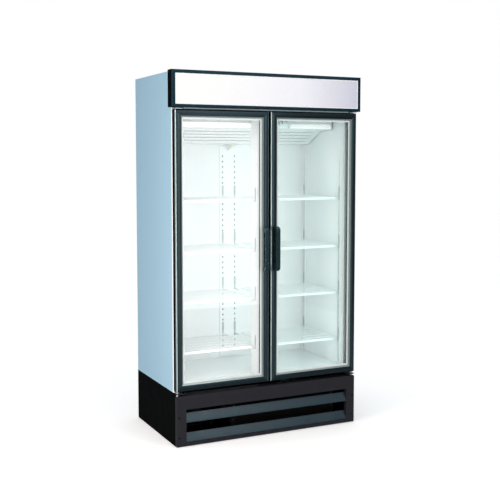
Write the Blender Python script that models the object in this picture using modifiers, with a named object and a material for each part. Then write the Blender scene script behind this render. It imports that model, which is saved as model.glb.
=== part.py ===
"""Two-door glass door merchandiser: an upright display cooler with a lit sign on top, four wire shelves a
side and its condensing unit in a louvred base.

+X runs to the viewer's right, +Y to the rear and +Z up. The origin is at floor level, in the middle of the
whole outline.
"""
import math

import bmesh
import bpy
from mathutils import Matrix, Vector

# Driving dimensions, in metres
OVERALL_HEIGHT = 2.000
BODY_WIDTH = 1.110
BODY_DEPTH = 0.590
BODY_TOP = 1.997
BASE_TOP = 0.290
DOOR_PROUD = 0.045      # the doors' front ahead of the cabinet's front face
HANDLE_REACH = 0.038    # the grips' front ahead of the doors' front
WALL = 0.050            # insulated walls, skins included
DOOR_BOTTOM, DOOR_TOP = 0.300, 1.796
DOOR_GAP = 0.012        # between the two doors
STILE = 0.040           # visible width of a door's frame
SIGN_BOTTOM = 1.806
SIGN_OVERHANG = 0.020   # the sign box past each side of the cabinet
SIGN_PROUD = 0.056      # the sign box ahead of the cabinet's front face
SHELF_HEIGHTS = (1.313, 1.033, 0.760, 0.485)

GAP = 0.0003            # left between pieces that meet
SKIN = 0.0008           # outer sheet steel
LINER = 0.0008

# Places worked out from them
HALF_WIDTH = BODY_WIDTH / 2
FRONT_Y = -(BODY_DEPTH - DOOR_PROUD - HANDLE_REACH) / 2
REAR_Y = FRONT_Y + BODY_DEPTH
PANEL_REAR_Y = REAR_Y - 0.003               # the back panel and the rear grille sit between the sides
DOOR_FRONT_Y = FRONT_Y - DOOR_PROUD
INNER_HALF = HALF_WIDTH - WALL              # inner faces of the side liners
CORE_HALF = INNER_HALF + LINER + GAP        # inner edge of the side panels' flanges
FLOOR_Z = BASE_TOP + 0.040
CEILING_Z = BODY_TOP - WALL
OPENING_TOP = 1.765                         # underside of the beam above the doors
BACK_Y = FRONT_Y + 0.512                    # front face of the back liner
COVER_FRONT_Y = FRONT_Y + 0.137             # front face of the evaporator cover
DOOR_WIDTH = HALF_WIDTH - DOOR_GAP / 2

FACING_Y = Matrix(((1, 0, 0), (0, 0, -1), (0, 1, 0))).to_4x4()   # an XY outline stood up in the XZ plane
FACING_X = Matrix(((0, 0, 1), (1, 0, 0), (0, 1, 0))).to_4x4()    # an XY outline stood up in the YZ plane
UPRIGHT = Matrix.Identity(4)

for leftover in list(bpy.data.objects):
    bpy.data.objects.remove(leftover)
parts = bpy.data.collections.new("glass_door_merchandiser")
helpers = bpy.data.collections.new("cutters_and_joined_shapes")
for collection in (parts, helpers):
    bpy.context.scene.collection.children.link(collection)


# ---------------------------------------------------------------- finishes

def finish(name, colour, roughness, metallic=0.0, alpha=1.0):
    """A Principled BSDF material."""
    material = bpy.data.materials.new(name)
    material.use_nodes = True
    material.diffuse_color = (*colour, alpha)
    shader = material.node_tree.nodes["Principled BSDF"]
    shader.inputs["Base Color"].default_value = (*colour, 1.0)
    shader.inputs["Roughness"].default_value = roughness
    shader.inputs["Metallic"].default_value = metallic
    shader.inputs["Alpha"].default_value = alpha
    return material


SIDE_PAINT = finish("light_grey_paint", (0.62, 0.70, 0.76), 0.35)
LINER_PAINT = finish("white_paint", (0.88, 0.90, 0.90), 0.30)
BLACK_PLASTIC = finish("black_plastic", (0.02, 0.02, 0.025), 0.35)
BLACK_STEEL = finish("black_steel", (0.02, 0.02, 0.022), 0.45)
DOOR_METAL = finish("charcoal_door_frame", (0.08, 0.10, 0.11), 0.30, 0.4)
GLASS = finish("glass", (0.90, 0.97, 0.95), 0.02, 0.0, 0.2)
RUBBER = finish("gasket_rubber", (0.05, 0.05, 0.05), 0.70)
SIGN_ACRYLIC = finish("sign_acrylic", (0.95, 0.95, 0.97), 0.20)
LAMP_WHITE = finish("lamp_white", (1.0, 1.0, 0.97), 0.30)
WHITE_WIRE = finish("white_coated_wire", (0.90, 0.92, 0.92), 0.35)
ZINC = finish("zinc_plate", (0.72, 0.74, 0.76), 0.35, 0.9)
ALUMINIUM = finish("aluminium_fins", (0.70, 0.72, 0.74), 0.40, 0.9)
WHITE_PLASTIC = finish("white_plastic", (0.85, 0.86, 0.86), 0.40)
MOTOR_BLACK = finish("motor_black", (0.03, 0.03, 0.03), 0.50)


# ---------------------------------------------------------------- shapes

def add(name, data, material, helper=False):
    """Puts a mesh or a curve in the scene. A helper is only there to be cut away or joined on."""
    piece = bpy.data.objects.new(name, data)
    (helpers if helper else parts).objects.link(piece)
    if helper:
        piece.hide_render = True
        piece.display_type = "WIRE"
    else:
        data.materials.append(material)
    return piece


def mesh_of(name, shape):
    data = bpy.data.meshes.new(name)
    shape.to_mesh(data)
    shape.free()
    return data


def box(name, low, high, material=None, bevel=0.0, segments=1, helper=False):
    """A box between two corners, its origin in the middle."""
    size = Vector(high) - Vector(low)
    shape = bmesh.new()
    bmesh.ops.create_cube(shape, size=1.0, matrix=Matrix.Diagonal((*size, 1.0)))
    piece = add(name, mesh_of(name, shape), material, helper)
    piece.location = (Vector(low) + Vector(high)) / 2
    if bevel:
        soften(piece, bevel, segments)
    return piece


def soften(piece, width, segments=1):
    rounding = piece.modifiers.new("rounded_edges", "BEVEL")
    rounding.width = width
    rounding.segments = segments
    rounding.limit_method = "ANGLE"
    rounding.angle_limit = math.radians(35)


def tray(name, low, high, open_side, thickness, material):
    """Sheet bent into a box between two corners, with no wall on its open side: (0, 0, 1) is the top."""
    size = Vector(high) - Vector(low)
    shape = bmesh.new()
    bmesh.ops.create_cube(shape, size=1.0, matrix=Matrix.Diagonal((*size, 1.0)))
    shape.normal_update()
    lid = [face for face in shape.faces if face.normal.dot(Vector(open_side)) > 0.5]
    bmesh.ops.delete(shape, geom=lid, context="FACES_ONLY")
    piece = add(name, mesh_of(name, shape), material)
    piece.location = (Vector(low) + Vector(high)) / 2
    sheet = piece.modifiers.new("sheet", "SOLIDIFY")
    sheet.thickness = thickness
    sheet.offset = -1.0
    sheet.use_even_offset = True
    return piece


def rod(name, centre, axis, radius, length, material=None, sides=20, helper=False):
    """A round bar along X, Y or Z."""
    shape = bmesh.new()
    bmesh.ops.create_cone(shape, cap_ends=True, segments=sides, radius1=radius, radius2=radius, depth=length)
    data = mesh_of(name, shape)
    data.shade_smooth()
    data.set_sharp_from_angle(angle=math.radians(40))
    piece = add(name, data, material, helper)
    piece.matrix_world = Matrix.Translation(centre) @ {"X": FACING_X, "Y": FACING_Y, "Z": UPRIGHT}[axis]
    return piece


def plate(name, outlines, facing, centre, thickness, material):
    """A flat piece: the first outline is its edge, and the others are its openings."""
    data = bpy.data.curves.new(name, "CURVE")
    data.dimensions = "2D"
    data.fill_mode = "BOTH"
    data.extrude = thickness / 2
    for outline in outlines:
        spline = data.splines.new("POLY")
        spline.points.add(len(outline) - 1)
        spline.use_cyclic_u = True
        for point, (u, v) in zip(spline.points, outline):
            point.co = (u, v, 0, 1)
    piece = add(name, data, material)
    piece.matrix_world = Matrix.Translation(centre) @ facing
    return piece


def rectangle(u0, v0, u1, v1):
    return [(u0, v0), (u1, v0), (u1, v1), (u0, v1)]


def folded_sheet(name, mid_line, axis, low, high, thickness, material):
    """Sheet metal folded along mid_line, running straight from low to high on an axis."""
    order = {"X": (2, 0, 1), "Y": (0, 2, 1), "Z": (0, 1, 2)}[axis]
    along = Vector([(0, 0, high - low)[i] for i in order])
    shape = bmesh.new()
    corners = [shape.verts.new([(u, v, low)[i] for i in order]) for u, v in mid_line]
    folds = [shape.edges.new(pair) for pair in zip(corners, corners[1:])]
    swept = bmesh.ops.extrude_edge_only(shape, edges=folds)["geom"]
    far = [item for item in swept if isinstance(item, bmesh.types.BMVert)]
    bmesh.ops.translate(shape, verts=far, vec=along)
    bmesh.ops.recalc_face_normals(shape, faces=shape.faces)
    piece = add(name, mesh_of(name, shape), material)
    sheet = piece.modifiers.new("sheet", "SOLIDIFY")
    sheet.thickness = thickness
    sheet.offset = 0.0
    sheet.use_even_offset = True
    return piece


def turned(name, profile, centre, axis, material, steps=24):
    """A round piece from its outer profile, (radius, height) from the top down."""
    shape = bmesh.new()
    points = [shape.verts.new((radius, 0, height)) for radius, height in profile]
    for pair in zip(points, points[1:]):
        shape.edges.new(pair)
    piece = add(name, mesh_of(name, shape), material)
    spin = piece.modifiers.new("turned", "SCREW")
    spin.steps = spin.render_steps = steps
    spin.use_merge_vertices = True
    spin.merge_threshold = 0.00001
    spin.use_smooth_shade = True
    piece.matrix_world = Matrix.Translation(centre) @ {"Y": FACING_Y, "Z": UPRIGHT}[axis]
    return piece


def cut(piece, *cutters):
    combine(piece, "DIFFERENCE", cutters)


def join(piece, *shapes):
    combine(piece, "UNION", shapes)


def combine(piece, operation, others):
    for other in others:
        step = piece.modifiers.new(other.name, "BOOLEAN")
        step.operation = operation
        step.object = other


def pivot(name, place, *pieces, tilt=0.0):
    """An empty on a joint's axis, which carries the pieces that turn about it. A tilt is about X."""
    carrier = bpy.data.objects.new(name, None)
    carrier.empty_display_size = 0.03
    carrier.location = place
    carrier.rotation_euler.x = tilt
    parts.objects.link(carrier)
    for piece in pieces:
        piece.parent = carrier
        piece.matrix_parent_inverse = Matrix.Translation(place).inverted()


# ---------------------------------------------------------------- base

PAN_HEIGHT, PAN_SHEET = 0.018, 0.002
BASE_SKIN = 0.0015
GRILLE_TOP = 0.276
GRILLE_DEPTH = 0.025
GRILLE_BACK_Y = DOOR_FRONT_Y + GRILLE_DEPTH
LOUVRE_HALF = 0.500
LOUVRE_ROWS = ((0.1285, 0.178), (0.0225, 0.070))     # front bottom edge and rear top edge of each blade
VENT_BOTTOM, VENT_TOP = 0.022, 0.202


def base():
    inner = HALF_WIDTH - BASE_SKIN - GAP
    front, rear = GRILLE_BACK_Y + GAP, PANEL_REAR_Y - BASE_SKIN - GAP
    tray("base_pan", (-inner, front, 0), (inner, rear, PAN_HEIGHT), (0, 0, 1), PAN_SHEET, BLACK_STEEL)
    for side, sign in (("left", -1), ("right", 1)):
        edges = sorted((sign * HALF_WIDTH, sign * (HALF_WIDTH - BASE_SKIN)))
        box(f"base_{side}_panel", (edges[0], front, 0.002), (edges[1], REAR_Y, BASE_TOP - GAP), BLACK_STEEL)
    rear_vents = [rectangle(x - 0.02, y, x + 0.02, y + 0.006)
                  for x in [-0.42 + 0.12 * column for column in range(8)]
                  for y in [0.060 + 0.040 * row for row in range(5)]]
    cord_hole = arc((0.40, 0.245), 0.011, 0, 342, 19)
    edge = rectangle(-inner, 0.002, inner, BASE_TOP - GAP)
    plate("base_rear_grille", [edge, *rear_vents, cord_hole], FACING_Y, (0, PANEL_REAR_Y - BASE_SKIN / 2, 0),
          BASE_SKIN, BLACK_STEEL)
    front_grille()


def front_grille():
    frame = box("front_grille_frame", (-HALF_WIDTH, DOOR_FRONT_Y, 0.002),
                (HALF_WIDTH, GRILLE_BACK_Y, GRILLE_TOP), BLACK_PLASTIC, bevel=0.003, segments=2)
    vent = box("grille_vent", (-LOUVRE_HALF, DOOR_FRONT_Y - 0.01, VENT_BOTTOM),
               (LOUVRE_HALF, GRILLE_BACK_Y + 0.01, VENT_TOP), helper=True)
    wall = 0.003
    hollow = box("grille_hollow", (wall - HALF_WIDTH, DOOR_FRONT_Y + wall, VENT_TOP + wall),
                 (HALF_WIDTH - wall, GRILLE_BACK_Y + 0.01, GRILLE_TOP - wall), helper=True)
    cut(frame, vent, hollow)
    inner = HALF_WIDTH - BASE_SKIN - GAP
    flange = box("grille_top_flange", (-inner, GRILLE_BACK_Y - 0.006, GRILLE_TOP - 0.0025),
                 (inner, FRONT_Y + 0.018, GRILLE_TOP - 0.0005), helper=True)
    join(frame, flange)
    blade = 0.0018
    for name, (bottom, top) in zip(("upper", "lower"), LOUVRE_ROWS):
        lip = (DOOR_FRONT_Y + 0.012, bottom + blade)
        nose = (DOOR_FRONT_Y + 0.0012, bottom + blade)
        crest = (GRILLE_BACK_Y - 0.002, top)
        folded_sheet(f"front_grille_{name}_louvre", [lip, nose, crest], "X", GAP - LOUVRE_HALF,
                     LOUVRE_HALF - GAP, blade, BLACK_PLASTIC)


# ---------------------------------------------------------------- condensing unit

CONDENSER_FAN = (0.130, FRONT_Y + 0.118, 0.145)
CONDENSER_FAN_RADIUS = 0.100
EVAPORATOR_FAN = (0.0, FRONT_Y + 0.215, 1.835)
EVAPORATOR_FAN_RADIUS = 0.085
SHAFT_RADIUS = 0.003
HUB_HALF = 0.012


def fan(name, centre, radius, blades, material):
    """A hub bored for its shaft, with pitched blades. It turns about Y."""
    hub = rod(name, centre, "Y", 0.022, 2 * HUB_HALF, material)
    for number in range(blades):
        reach = radius - 0.014
        shape = bmesh.new()
        size = Matrix.Diagonal((reach, 0.0022, 0.050 * radius / 0.1, 1.0))
        bmesh.ops.create_cube(shape, size=1.0, matrix=size)
        blade = add(f"{name}_blade_{number + 1}", mesh_of(name, shape), None, helper=True)
        turn = Matrix.Rotation(2 * math.pi * number / blades, 4, "Y")
        outward = Matrix.Translation((0.014 + reach / 2, 0, 0))
        pitch = Matrix.Rotation(math.radians(24), 4, "X")
        blade.matrix_world = Matrix.Translation(centre) @ turn @ outward @ pitch
        join(hub, blade)
    bore = rod(f"{name}_bore", centre, "Y", SHAFT_RADIUS + 0.0006, 0.1, sides=16, helper=True)
    cut(hub, bore)
    pivot(f"{name}_axis", centre, hub)


def motor(name, fan_centre, radius, length):
    """A round motor behind a fan, its shaft reaching into the hub."""
    x, y, z = fan_centre
    front = y + HUB_HALF + 0.003
    body = rod(name, (x, front + length / 2, z), "Y", radius, length, MOTOR_BLACK)
    shaft_front = y - HUB_HALF + 0.002
    shaft_rear = front + 0.005
    shaft = rod(f"{name}_shaft", (x, (shaft_front + shaft_rear) / 2, z), "Y", SHAFT_RADIUS,
                shaft_rear - shaft_front, sides=12, helper=True)
    join(body, shaft)


def finned_coil(name, low, high, fins):
    """A row of upright fins that stand on one spine along X."""
    fin, spine = 0.003, 0.008
    pitch = (high[0] - low[0] - fin) / (fins - 1)
    outline = [(low[0], low[2]), (high[0], low[2])]
    for number in range(fins):
        right = high[0] - number * pitch
        outline += [(right, high[2]), (right - fin, high[2])]
        if number < fins - 1:
            outline += [(right - fin, low[2] + spine), (right - pitch, low[2] + spine)]
    middle = (0, (low[1] + high[1]) / 2, 0)
    plate(name, [outline], FACING_Y, middle, high[1] - low[1], ALUMINIUM)


def condensing_unit():
    pan_floor = PAN_SHEET + GAP
    shell = [(0, 0.196), (0.040, 0.191), (0.066, 0.172), (0.076, 0.146), (0.077, 0.090), (0.083, 0.086),
             (0.083, 0.080), (0.077, 0.076), (0.074, 0.036), (0.058, 0.010), (0.040, 0), (0.032, 0),
             (0.048, 0.016), (0.063, 0.040), (0.066, 0.140), (0.058, 0.163), (0.036, 0.180), (0, 0.184)]
    turned("compressor", shell, (-0.300, FRONT_Y + 0.330, pan_floor), "Z", MOTOR_BLACK)
    finned_coil("condenser_coil", (-0.200, FRONT_Y + 0.020, pan_floor), (0.460, FRONT_Y + 0.072, 0.262), 45)
    fan("condenser_fan", CONDENSER_FAN, CONDENSER_FAN_RADIUS, 5, ALUMINIUM)
    motor("condenser_fan_motor", CONDENSER_FAN, 0.042, 0.070)
    tray("control_box", (0.340, FRONT_Y + 0.360, pan_floor), (0.500, FRONT_Y + 0.480, 0.170), (0, 0, -1),
         0.0012, ZINC)


# ---------------------------------------------------------------- cabinet

def cabinet():
    for side, sign in (("left", -1), ("right", 1)):
        skin = sorted((sign * HALF_WIDTH, sign * CORE_HALF))
        tray(f"{side}_side_panel", (skin[0], FRONT_Y, BASE_TOP), (skin[1], REAR_Y, BODY_TOP), (-sign, 0, 0),
             SKIN, SIDE_PAINT)
        faces = sorted((sign * INNER_HALF, sign * (INNER_HALF + LINER)))
        box(f"{side}_liner", (faces[0], FRONT_Y + GAP, FLOOR_Z + GAP),
            (faces[1], BACK_Y - GAP, CEILING_Z - GAP), LINER_PAINT)
    span = CORE_HALF - GAP
    box("back_liner", (-span, BACK_Y, FLOOR_Z + GAP), (span, BACK_Y + LINER, CEILING_Z - GAP), LINER_PAINT)
    box("back_panel", (-span, PANEL_REAR_Y - SKIN, BASE_TOP), (span, PANEL_REAR_Y, BODY_TOP), SIDE_PAINT)
    front, rear = FRONT_Y + SKIN / 2, PANEL_REAR_Y - SKIN - GAP
    deck = [(rear, BASE_TOP + SKIN / 2), (front, BASE_TOP + SKIN / 2), (front, FLOOR_Z - SKIN / 2),
            (rear, FLOOR_Z - SKIN / 2)]
    folded_sheet("floor_panel", deck, "X", -span, span, SKIN, LINER_PAINT)
    roof = [(rear, CEILING_Z + SKIN / 2), (front, CEILING_Z + SKIN / 2), (front, BODY_TOP - SKIN / 2),
            (rear, BODY_TOP - SKIN / 2)]
    folded_sheet("top_panel", roof, "X", -span, span, SKIN, SIDE_PAINT)
    beam_top, beam_back = CEILING_Z - GAP, FRONT_Y + WALL
    beam = [(front, beam_top), (front, OPENING_TOP + SKIN / 2), (beam_back, OPENING_TOP + SKIN / 2),
            (beam_back, beam_top)]
    folded_sheet("front_beam", beam, "X", GAP - INNER_HALF, INNER_HALF - GAP, SKIN, SIDE_PAINT)
    mullion()
    pilasters()


def mullion():
    """The post between the doors: a hollow upright, open at both ends."""
    half, depth, wall = 0.045, 0.100, 0.0015
    outer = rectangle(-half, FRONT_Y, half, FRONT_Y + depth)
    inner = rectangle(wall - half, FRONT_Y + wall, half - wall, FRONT_Y + depth - wall)
    low, high = FLOOR_Z + GAP, OPENING_TOP - GAP
    plate("centre_mullion", [outer, inner], UPRIGHT, (0, 0, (low + high) / 2), high - low, LINER_PAINT)


PILASTER_BOTTOM, PILASTER_TOP = 0.340, 1.572
PILASTER_DEPTH = 0.0075
PILASTER_FRONT = (FRONT_Y + 0.033, FRONT_Y + 0.057)
PILASTER_REAR = (FRONT_Y + 0.449, FRONT_Y + 0.473)
CHANNEL_HALF, CHANNEL_DEPTH = 0.059, 0.006


def pilasters():
    """The channels that carry the shelves, each with its open side against the liner."""
    sheet = 0.0015
    for side, sign in (("left", -1), ("right", 1)):
        wall = sign * (INNER_HALF - GAP)
        face = wall - sign * (PILASTER_DEPTH - sheet / 2)
        for place, (near, far) in (("front", PILASTER_FRONT), ("rear", PILASTER_REAR)):
            near, far = near + sheet / 2, far - sheet / 2
            line = [(wall, near), (face, near), (face, far), (wall, far)]
            folded_sheet(f"{side}_{place}_pilaster", line, "Z", PILASTER_BOTTOM, PILASTER_TOP, sheet,
                         LINER_PAINT)
    half, rear = CHANNEL_HALF - sheet / 2, BACK_Y - GAP
    face = rear - CHANNEL_DEPTH + sheet / 2
    folded_sheet("centre_rear_channel", [(-half, rear), (-half, face), (half, face), (half, rear)], "Z",
                 PILASTER_BOTTOM, 1.615, sheet, LINER_PAINT)


# ---------------------------------------------------------------- shelves

SHELF_OUTER, SHELF_INNER = 0.4960, 0.0475    # distances from the middle of the cabinet
SHELF_FRONT_Y, SHELF_REAR_Y = FRONT_Y + 0.060, FRONT_Y + 0.442
SHELF_THICKNESS = 0.006
SHELF_SLOTS = 12


def shelves():
    rim, slat = 0.008, 0.006
    bay = (SHELF_OUTER - SHELF_INNER - 2 * rim + slat) / SHELF_SLOTS
    for side, left_edge in (("left", -SHELF_OUTER), ("right", SHELF_INNER)):
        edge = rectangle(left_edge, SHELF_FRONT_Y, left_edge + SHELF_OUTER - SHELF_INNER, SHELF_REAR_Y)
        starts = [left_edge + rim + bay * number for number in range(SHELF_SLOTS)]
        slots = [rectangle(x, SHELF_FRONT_Y + rim, x + bay - slat, SHELF_REAR_Y - rim) for x in starts]
        for number, height in enumerate(SHELF_HEIGHTS):
            plate(f"{side}_shelf_{number + 1}", [edge, *slots], UPRIGHT, (0, 0, height), SHELF_THICKNESS,
                  WHITE_WIRE)


# ---------------------------------------------------------------- evaporator, interior light and controls

KNOB = (0.1615, FRONT_Y + 0.118, 1.744)
SWITCH = (0.1900, FRONT_Y + 0.121, 1.744)
SWITCH_TILT = math.radians(8)               # the rocker either side of level; it rests switched on


def evaporator():
    sheet = 0.0012
    mid_y = COVER_FRONT_Y + sheet / 2
    line = [(mid_y, CEILING_Z - GAP), (mid_y, 1.712), (FRONT_Y + 0.260, 1.7055), (FRONT_Y + 0.419, 1.6305),
            (BACK_Y - 0.001, 1.6255)]
    cover = folded_sheet("evaporator_cover", line, "X", -0.500, 0.500, sheet, LINER_PAINT)
    boss_front = KNOB[1]
    boss = box("control_boss", (0.145, boss_front, 1.7255), (0.206, COVER_FRONT_Y + sheet / 2, 1.7625),
               helper=True)
    pocket = box("switch_pocket", (SWITCH[0] - 0.009, boss_front - 0.01, SWITCH[2] - 0.0072),
                 (SWITCH[0] + 0.009, boss_front + 0.011, SWITCH[2] + 0.0072), helper=True)
    join(cover, boss)
    cut(cover, pocket)
    finned_coil("evaporator_coil", (-0.380, FRONT_Y + 0.345, 1.700), (0.380, FRONT_Y + 0.455, 1.925), 40)
    fan("evaporator_fan", EVAPORATOR_FAN, EVAPORATOR_FAN_RADIUS, 5, ALUMINIUM)
    motor("evaporator_fan_motor", EVAPORATOR_FAN, 0.036, 0.060)
    lamp = box("interior_light", (-0.490, FRONT_Y + 0.1215, 1.7115), (0.490, COVER_FRONT_Y - GAP, 1.740),
               LAMP_WHITE, bevel=0.003, segments=2)
    clearance = box("boss_clearance", (0.1447, boss_front - 0.01, 1.7252), (0.2063, COVER_FRONT_Y + 0.01, 1.78),
                    helper=True)
    cut(lamp, clearance)
    rocker = box("light_switch", (SWITCH[0] - 0.008, SWITCH[1] - 0.008, SWITCH[2] - 0.0055),
                 (SWITCH[0] + 0.008, SWITCH[1] + 0.003, SWITCH[2] + 0.0055), WHITE_PLASTIC, bevel=0.001)
    pivot("light_switch_axis", SWITCH, rocker, tilt=-SWITCH_TILT)
    knob = rod("thermostat_knob", (KNOB[0], KNOB[1] - GAP - 0.006, KNOB[2]), "Y", 0.009, 0.012, WHITE_PLASTIC,
               sides=24)
    pointer = box("knob_pointer", (KNOB[0] - 0.001, KNOB[1] - 0.0145, KNOB[2]),
                  (KNOB[0] + 0.001, KNOB[1] - 0.011, KNOB[2] + 0.008), helper=True)
    join(knob, pointer)
    pivot("thermostat_knob_axis", KNOB, knob)


# ---------------------------------------------------------------- sign box

def sign_box():
    half = HALF_WIDTH + SIGN_OVERHANG
    front, wing_rear = FRONT_Y - SIGN_PROUD, FRONT_Y + 0.004
    top_bar, bottom_bar = 0.019, 0.016
    low, high = SIGN_BOTTOM + bottom_bar, OVERALL_HEIGHT - top_bar
    shape = bmesh.new()
    size = (2 * half, wing_rear - front, OVERALL_HEIGHT - SIGN_BOTTOM)
    bmesh.ops.create_cube(shape, size=1.0, matrix=Matrix.Diagonal((*size, 1.0)))
    corners = [edge for edge in shape.edges if all(vertex.co.y < 0 for vertex in edge.verts)
               and abs(edge.verts[0].co.z - edge.verts[1].co.z) > 0.01]
    bmesh.ops.bevel(shape, geom=corners, offset=0.012, segments=4, profile=0.5, affect="EDGES")
    frame = add("header_frame", mesh_of("header_frame", shape), BLACK_PLASTIC)
    frame.location = (0, (front + wing_rear) / 2, (SIGN_BOTTOM + OVERALL_HEIGHT) / 2)
    soften(frame, 0.0015)
    window = box("header_window", (-HALF_WIDTH, front - 0.01, low), (HALF_WIDTH, wing_rear + 0.01, high),
                 helper=True)
    body = box("header_body_clearance", (-HALF_WIDTH - GAP, FRONT_Y - 0.004, SIGN_BOTTOM - 0.01),
               (HALF_WIDTH + GAP, wing_rear + 0.01, OVERALL_HEIGHT + 0.01), helper=True)
    cut(frame, window, body)
    inside = HALF_WIDTH - GAP
    box("sign_panel", (-inside, front + 0.003, low + GAP), (inside, front + 0.006, high - GAP), SIGN_ACRYLIC)
    box("header_back_pan", (-inside, FRONT_Y - 0.0068, low + GAP), (inside, FRONT_Y - 0.0050, high - GAP),
        LINER_PAINT)
    rod("sign_lamp", (0, FRONT_Y - 0.028, (low + high) / 2), "X", 0.013, 1.04, LAMP_WHITE, sides=16)


# ---------------------------------------------------------------- doors

PIN_INSET = 0.012                   # pivot from the door's outer edge
PIN_Y = FRONT_Y - 0.026
PIN_RADIUS = 0.0040
HOLE_RADIUS = 0.0045
LIP = 0.0068                        # door frame ahead of the outer pane
POCKET = 0.012                      # glass hidden behind the frame's lip
FRAME_REAR_Y = FRONT_Y - 0.005
OUTER_PANE_Y = DOOR_FRONT_Y + LIP + GAP
INNER_PANE_Y = OUTER_PANE_Y + 0.020
PANE = 0.004
HANDLE_X = 0.034                    # from the middle of the cabinet
HANDLE_HALF = 0.0125
HANDLE_BOTTOM, HANDLE_TOP = 0.921, 1.167
HINGES = {"bottom": (BASE_TOP - GAP - 0.0035, BASE_TOP - GAP), "top": (1.7985, 1.8015)}


def door(side, sign):
    """One door, hung at the outer edge of its side."""
    outer, inner = sign * HALF_WIDTH, sign * DOOR_GAP / 2
    left, right = sorted((outer, inner))
    pin_x = sign * (HALF_WIDTH - PIN_INSET)
    frame = box(f"{side}_door_frame", (left, DOOR_FRONT_Y, DOOR_BOTTOM), (right, FRAME_REAR_Y, DOOR_TOP),
                DOOR_METAL, bevel=0.0025, segments=2)
    sight = box(f"{side}_sight", (left + STILE, DOOR_FRONT_Y - 0.01, DOOR_BOTTOM + STILE),
                (right - STILE, FRAME_REAR_Y + 0.01, DOOR_TOP - STILE), helper=True)
    margin = STILE - POCKET
    pocket = box(f"{side}_glass_pocket", (left + margin, DOOR_FRONT_Y + LIP, DOOR_BOTTOM + margin),
                 (right - margin, FRAME_REAR_Y + 0.01, DOOR_TOP - margin), helper=True)
    holes = [rod(f"{side}_{end}_pin_hole", (pin_x, PIN_Y, z), "Z", HOLE_RADIUS, 0.044, sides=16, helper=True)
             for end, z in (("bottom", DOOR_BOTTOM), ("top", DOOR_TOP))]
    cut(frame, sight, pocket, *holes)
    for name, low, high in rear_grooves(left, right, margin):
        cut(frame, box(f"{side}_{name}", low, high, helper=True))
    edge = margin + 0.001
    panes = []
    for name, y in (("outer", OUTER_PANE_Y), ("inner", INNER_PANE_Y)):
        panes.append(box(f"{side}_door_{name}_glass", (left + edge, y, DOOR_BOTTOM + edge),
                         (right - edge, y + PANE, DOOR_TOP - edge), GLASS))
    seal_edge, seal_width = 0.013, 0.014
    far = seal_edge + seal_width
    seal_y = (FRAME_REAR_Y + FRONT_Y) / 2
    ring = [rectangle(left + inset, DOOR_BOTTOM + inset, right - inset, DOOR_TOP - inset)
            for inset in (seal_edge, far)]
    gasket = plate(f"{side}_door_gasket", ring, FACING_Y, (0, seal_y, 0), FRONT_Y - FRAME_REAR_Y - 2 * GAP,
                   RUBBER)
    grip = handle(f"{side}_door_handle", sign * HANDLE_X)
    pivot(f"{side}_door_pivot", (pin_x, PIN_Y, DOOR_BOTTOM), frame, *panes, gasket, grip)


def rear_grooves(left, right, margin):
    """The hollows of a door frame's bars, open to the rear: name and two corners of each."""
    wall = 0.004
    front, rear = DOOR_FRONT_Y + LIP + 0.002, FRAME_REAR_Y + 0.01
    near, far = wall, margin - wall
    tall = (DOOR_BOTTOM + margin + wall, DOOR_TOP - margin - wall)
    wide = (left + margin + wall, right - margin - wall)
    return [("left_groove", (left + near, front, tall[0]), (left + far, rear, tall[1])),
            ("right_groove", (right - far, front, tall[0]), (right - near, rear, tall[1])),
            ("bottom_groove", (wide[0], front, DOOR_BOTTOM + near), (wide[1], rear, DOOR_BOTTOM + far)),
            ("top_groove", (wide[0], front, DOOR_TOP - far), (wide[1], rear, DOOR_TOP - near))]


def arc(centre, radius, start, end, steps=5):
    """Points round a centre, from one angle to another in degrees."""
    angles = [math.radians(start + (end - start) * step / steps) for step in range(steps + 1)]
    return [(centre[0] + radius * math.cos(angle), centre[1] + radius * math.sin(angle)) for angle in angles]


def handle(name, x):
    """A D handle: a flat grip on two feet, its outline drawn from the side."""
    face = DOOR_FRONT_Y - GAP
    front, grip_rear = DOOR_FRONT_Y - HANDLE_REACH, DOOR_FRONT_Y - HANDLE_REACH + 0.012
    outer, inner, foot = 0.024, 0.012, 0.020
    low, high = HANDLE_BOTTOM, HANDLE_TOP
    outline = [(face, low + foot)]
    outline += arc((grip_rear + inner, low + foot + inner), inner, 270, 180)
    outline += arc((grip_rear + inner, high - foot - inner), inner, 180, 90)
    outline += [(face, high - foot), (face, high)]
    outline += arc((front + outer, high - outer), outer, 90, 180)
    outline += arc((front + outer, low + outer), outer, 180, 270)
    outline += [(face, low)]
    return plate(name, [outline], FACING_X, (x, 0, 0), 2 * HANDLE_HALF, BLACK_PLASTIC)


def hinge(side, sign, end):
    """A bracket with its pivot pin, which reaches into the end of a door's hinge stile."""
    low, high = HINGES[end]
    outer = sign * (HALF_WIDTH - BASE_SKIN - GAP)
    edges = sorted((outer, outer - sign * 0.042))
    rear = FRONT_Y + 0.055 if end == "bottom" else FRONT_Y - GAP
    bracket = box(f"{side}_{end}_hinge", (edges[0], DOOR_FRONT_Y + 0.001, low), (edges[1], rear, high), ZINC)
    pin_low, pin_high = (low + 0.001, 0.3185) if end == "bottom" else (1.7775, high - 0.001)
    pin_x = sign * (HALF_WIDTH - PIN_INSET)
    pin = rod(f"{side}_{end}_hinge_pin", (pin_x, PIN_Y, (pin_low + pin_high) / 2), "Z", PIN_RADIUS,
              pin_high - pin_low, sides=16, helper=True)
    join(bracket, pin)
    if end == "top":
        flange = box(f"{side}_hinge_flange", (edges[0], FRONT_Y - 0.0033, low), (edges[1], rear, 1.840),
                     helper=True)
        join(bracket, flange)


base()
condensing_unit()
cabinet()
shelves()
evaporator()
sign_box()
for door_side, door_sign in (("left", -1), ("right", 1)):
    door(door_side, door_sign)
    for bracket_end in ("bottom", "top"):
        hinge(door_side, door_sign, bracket_end)
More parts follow.
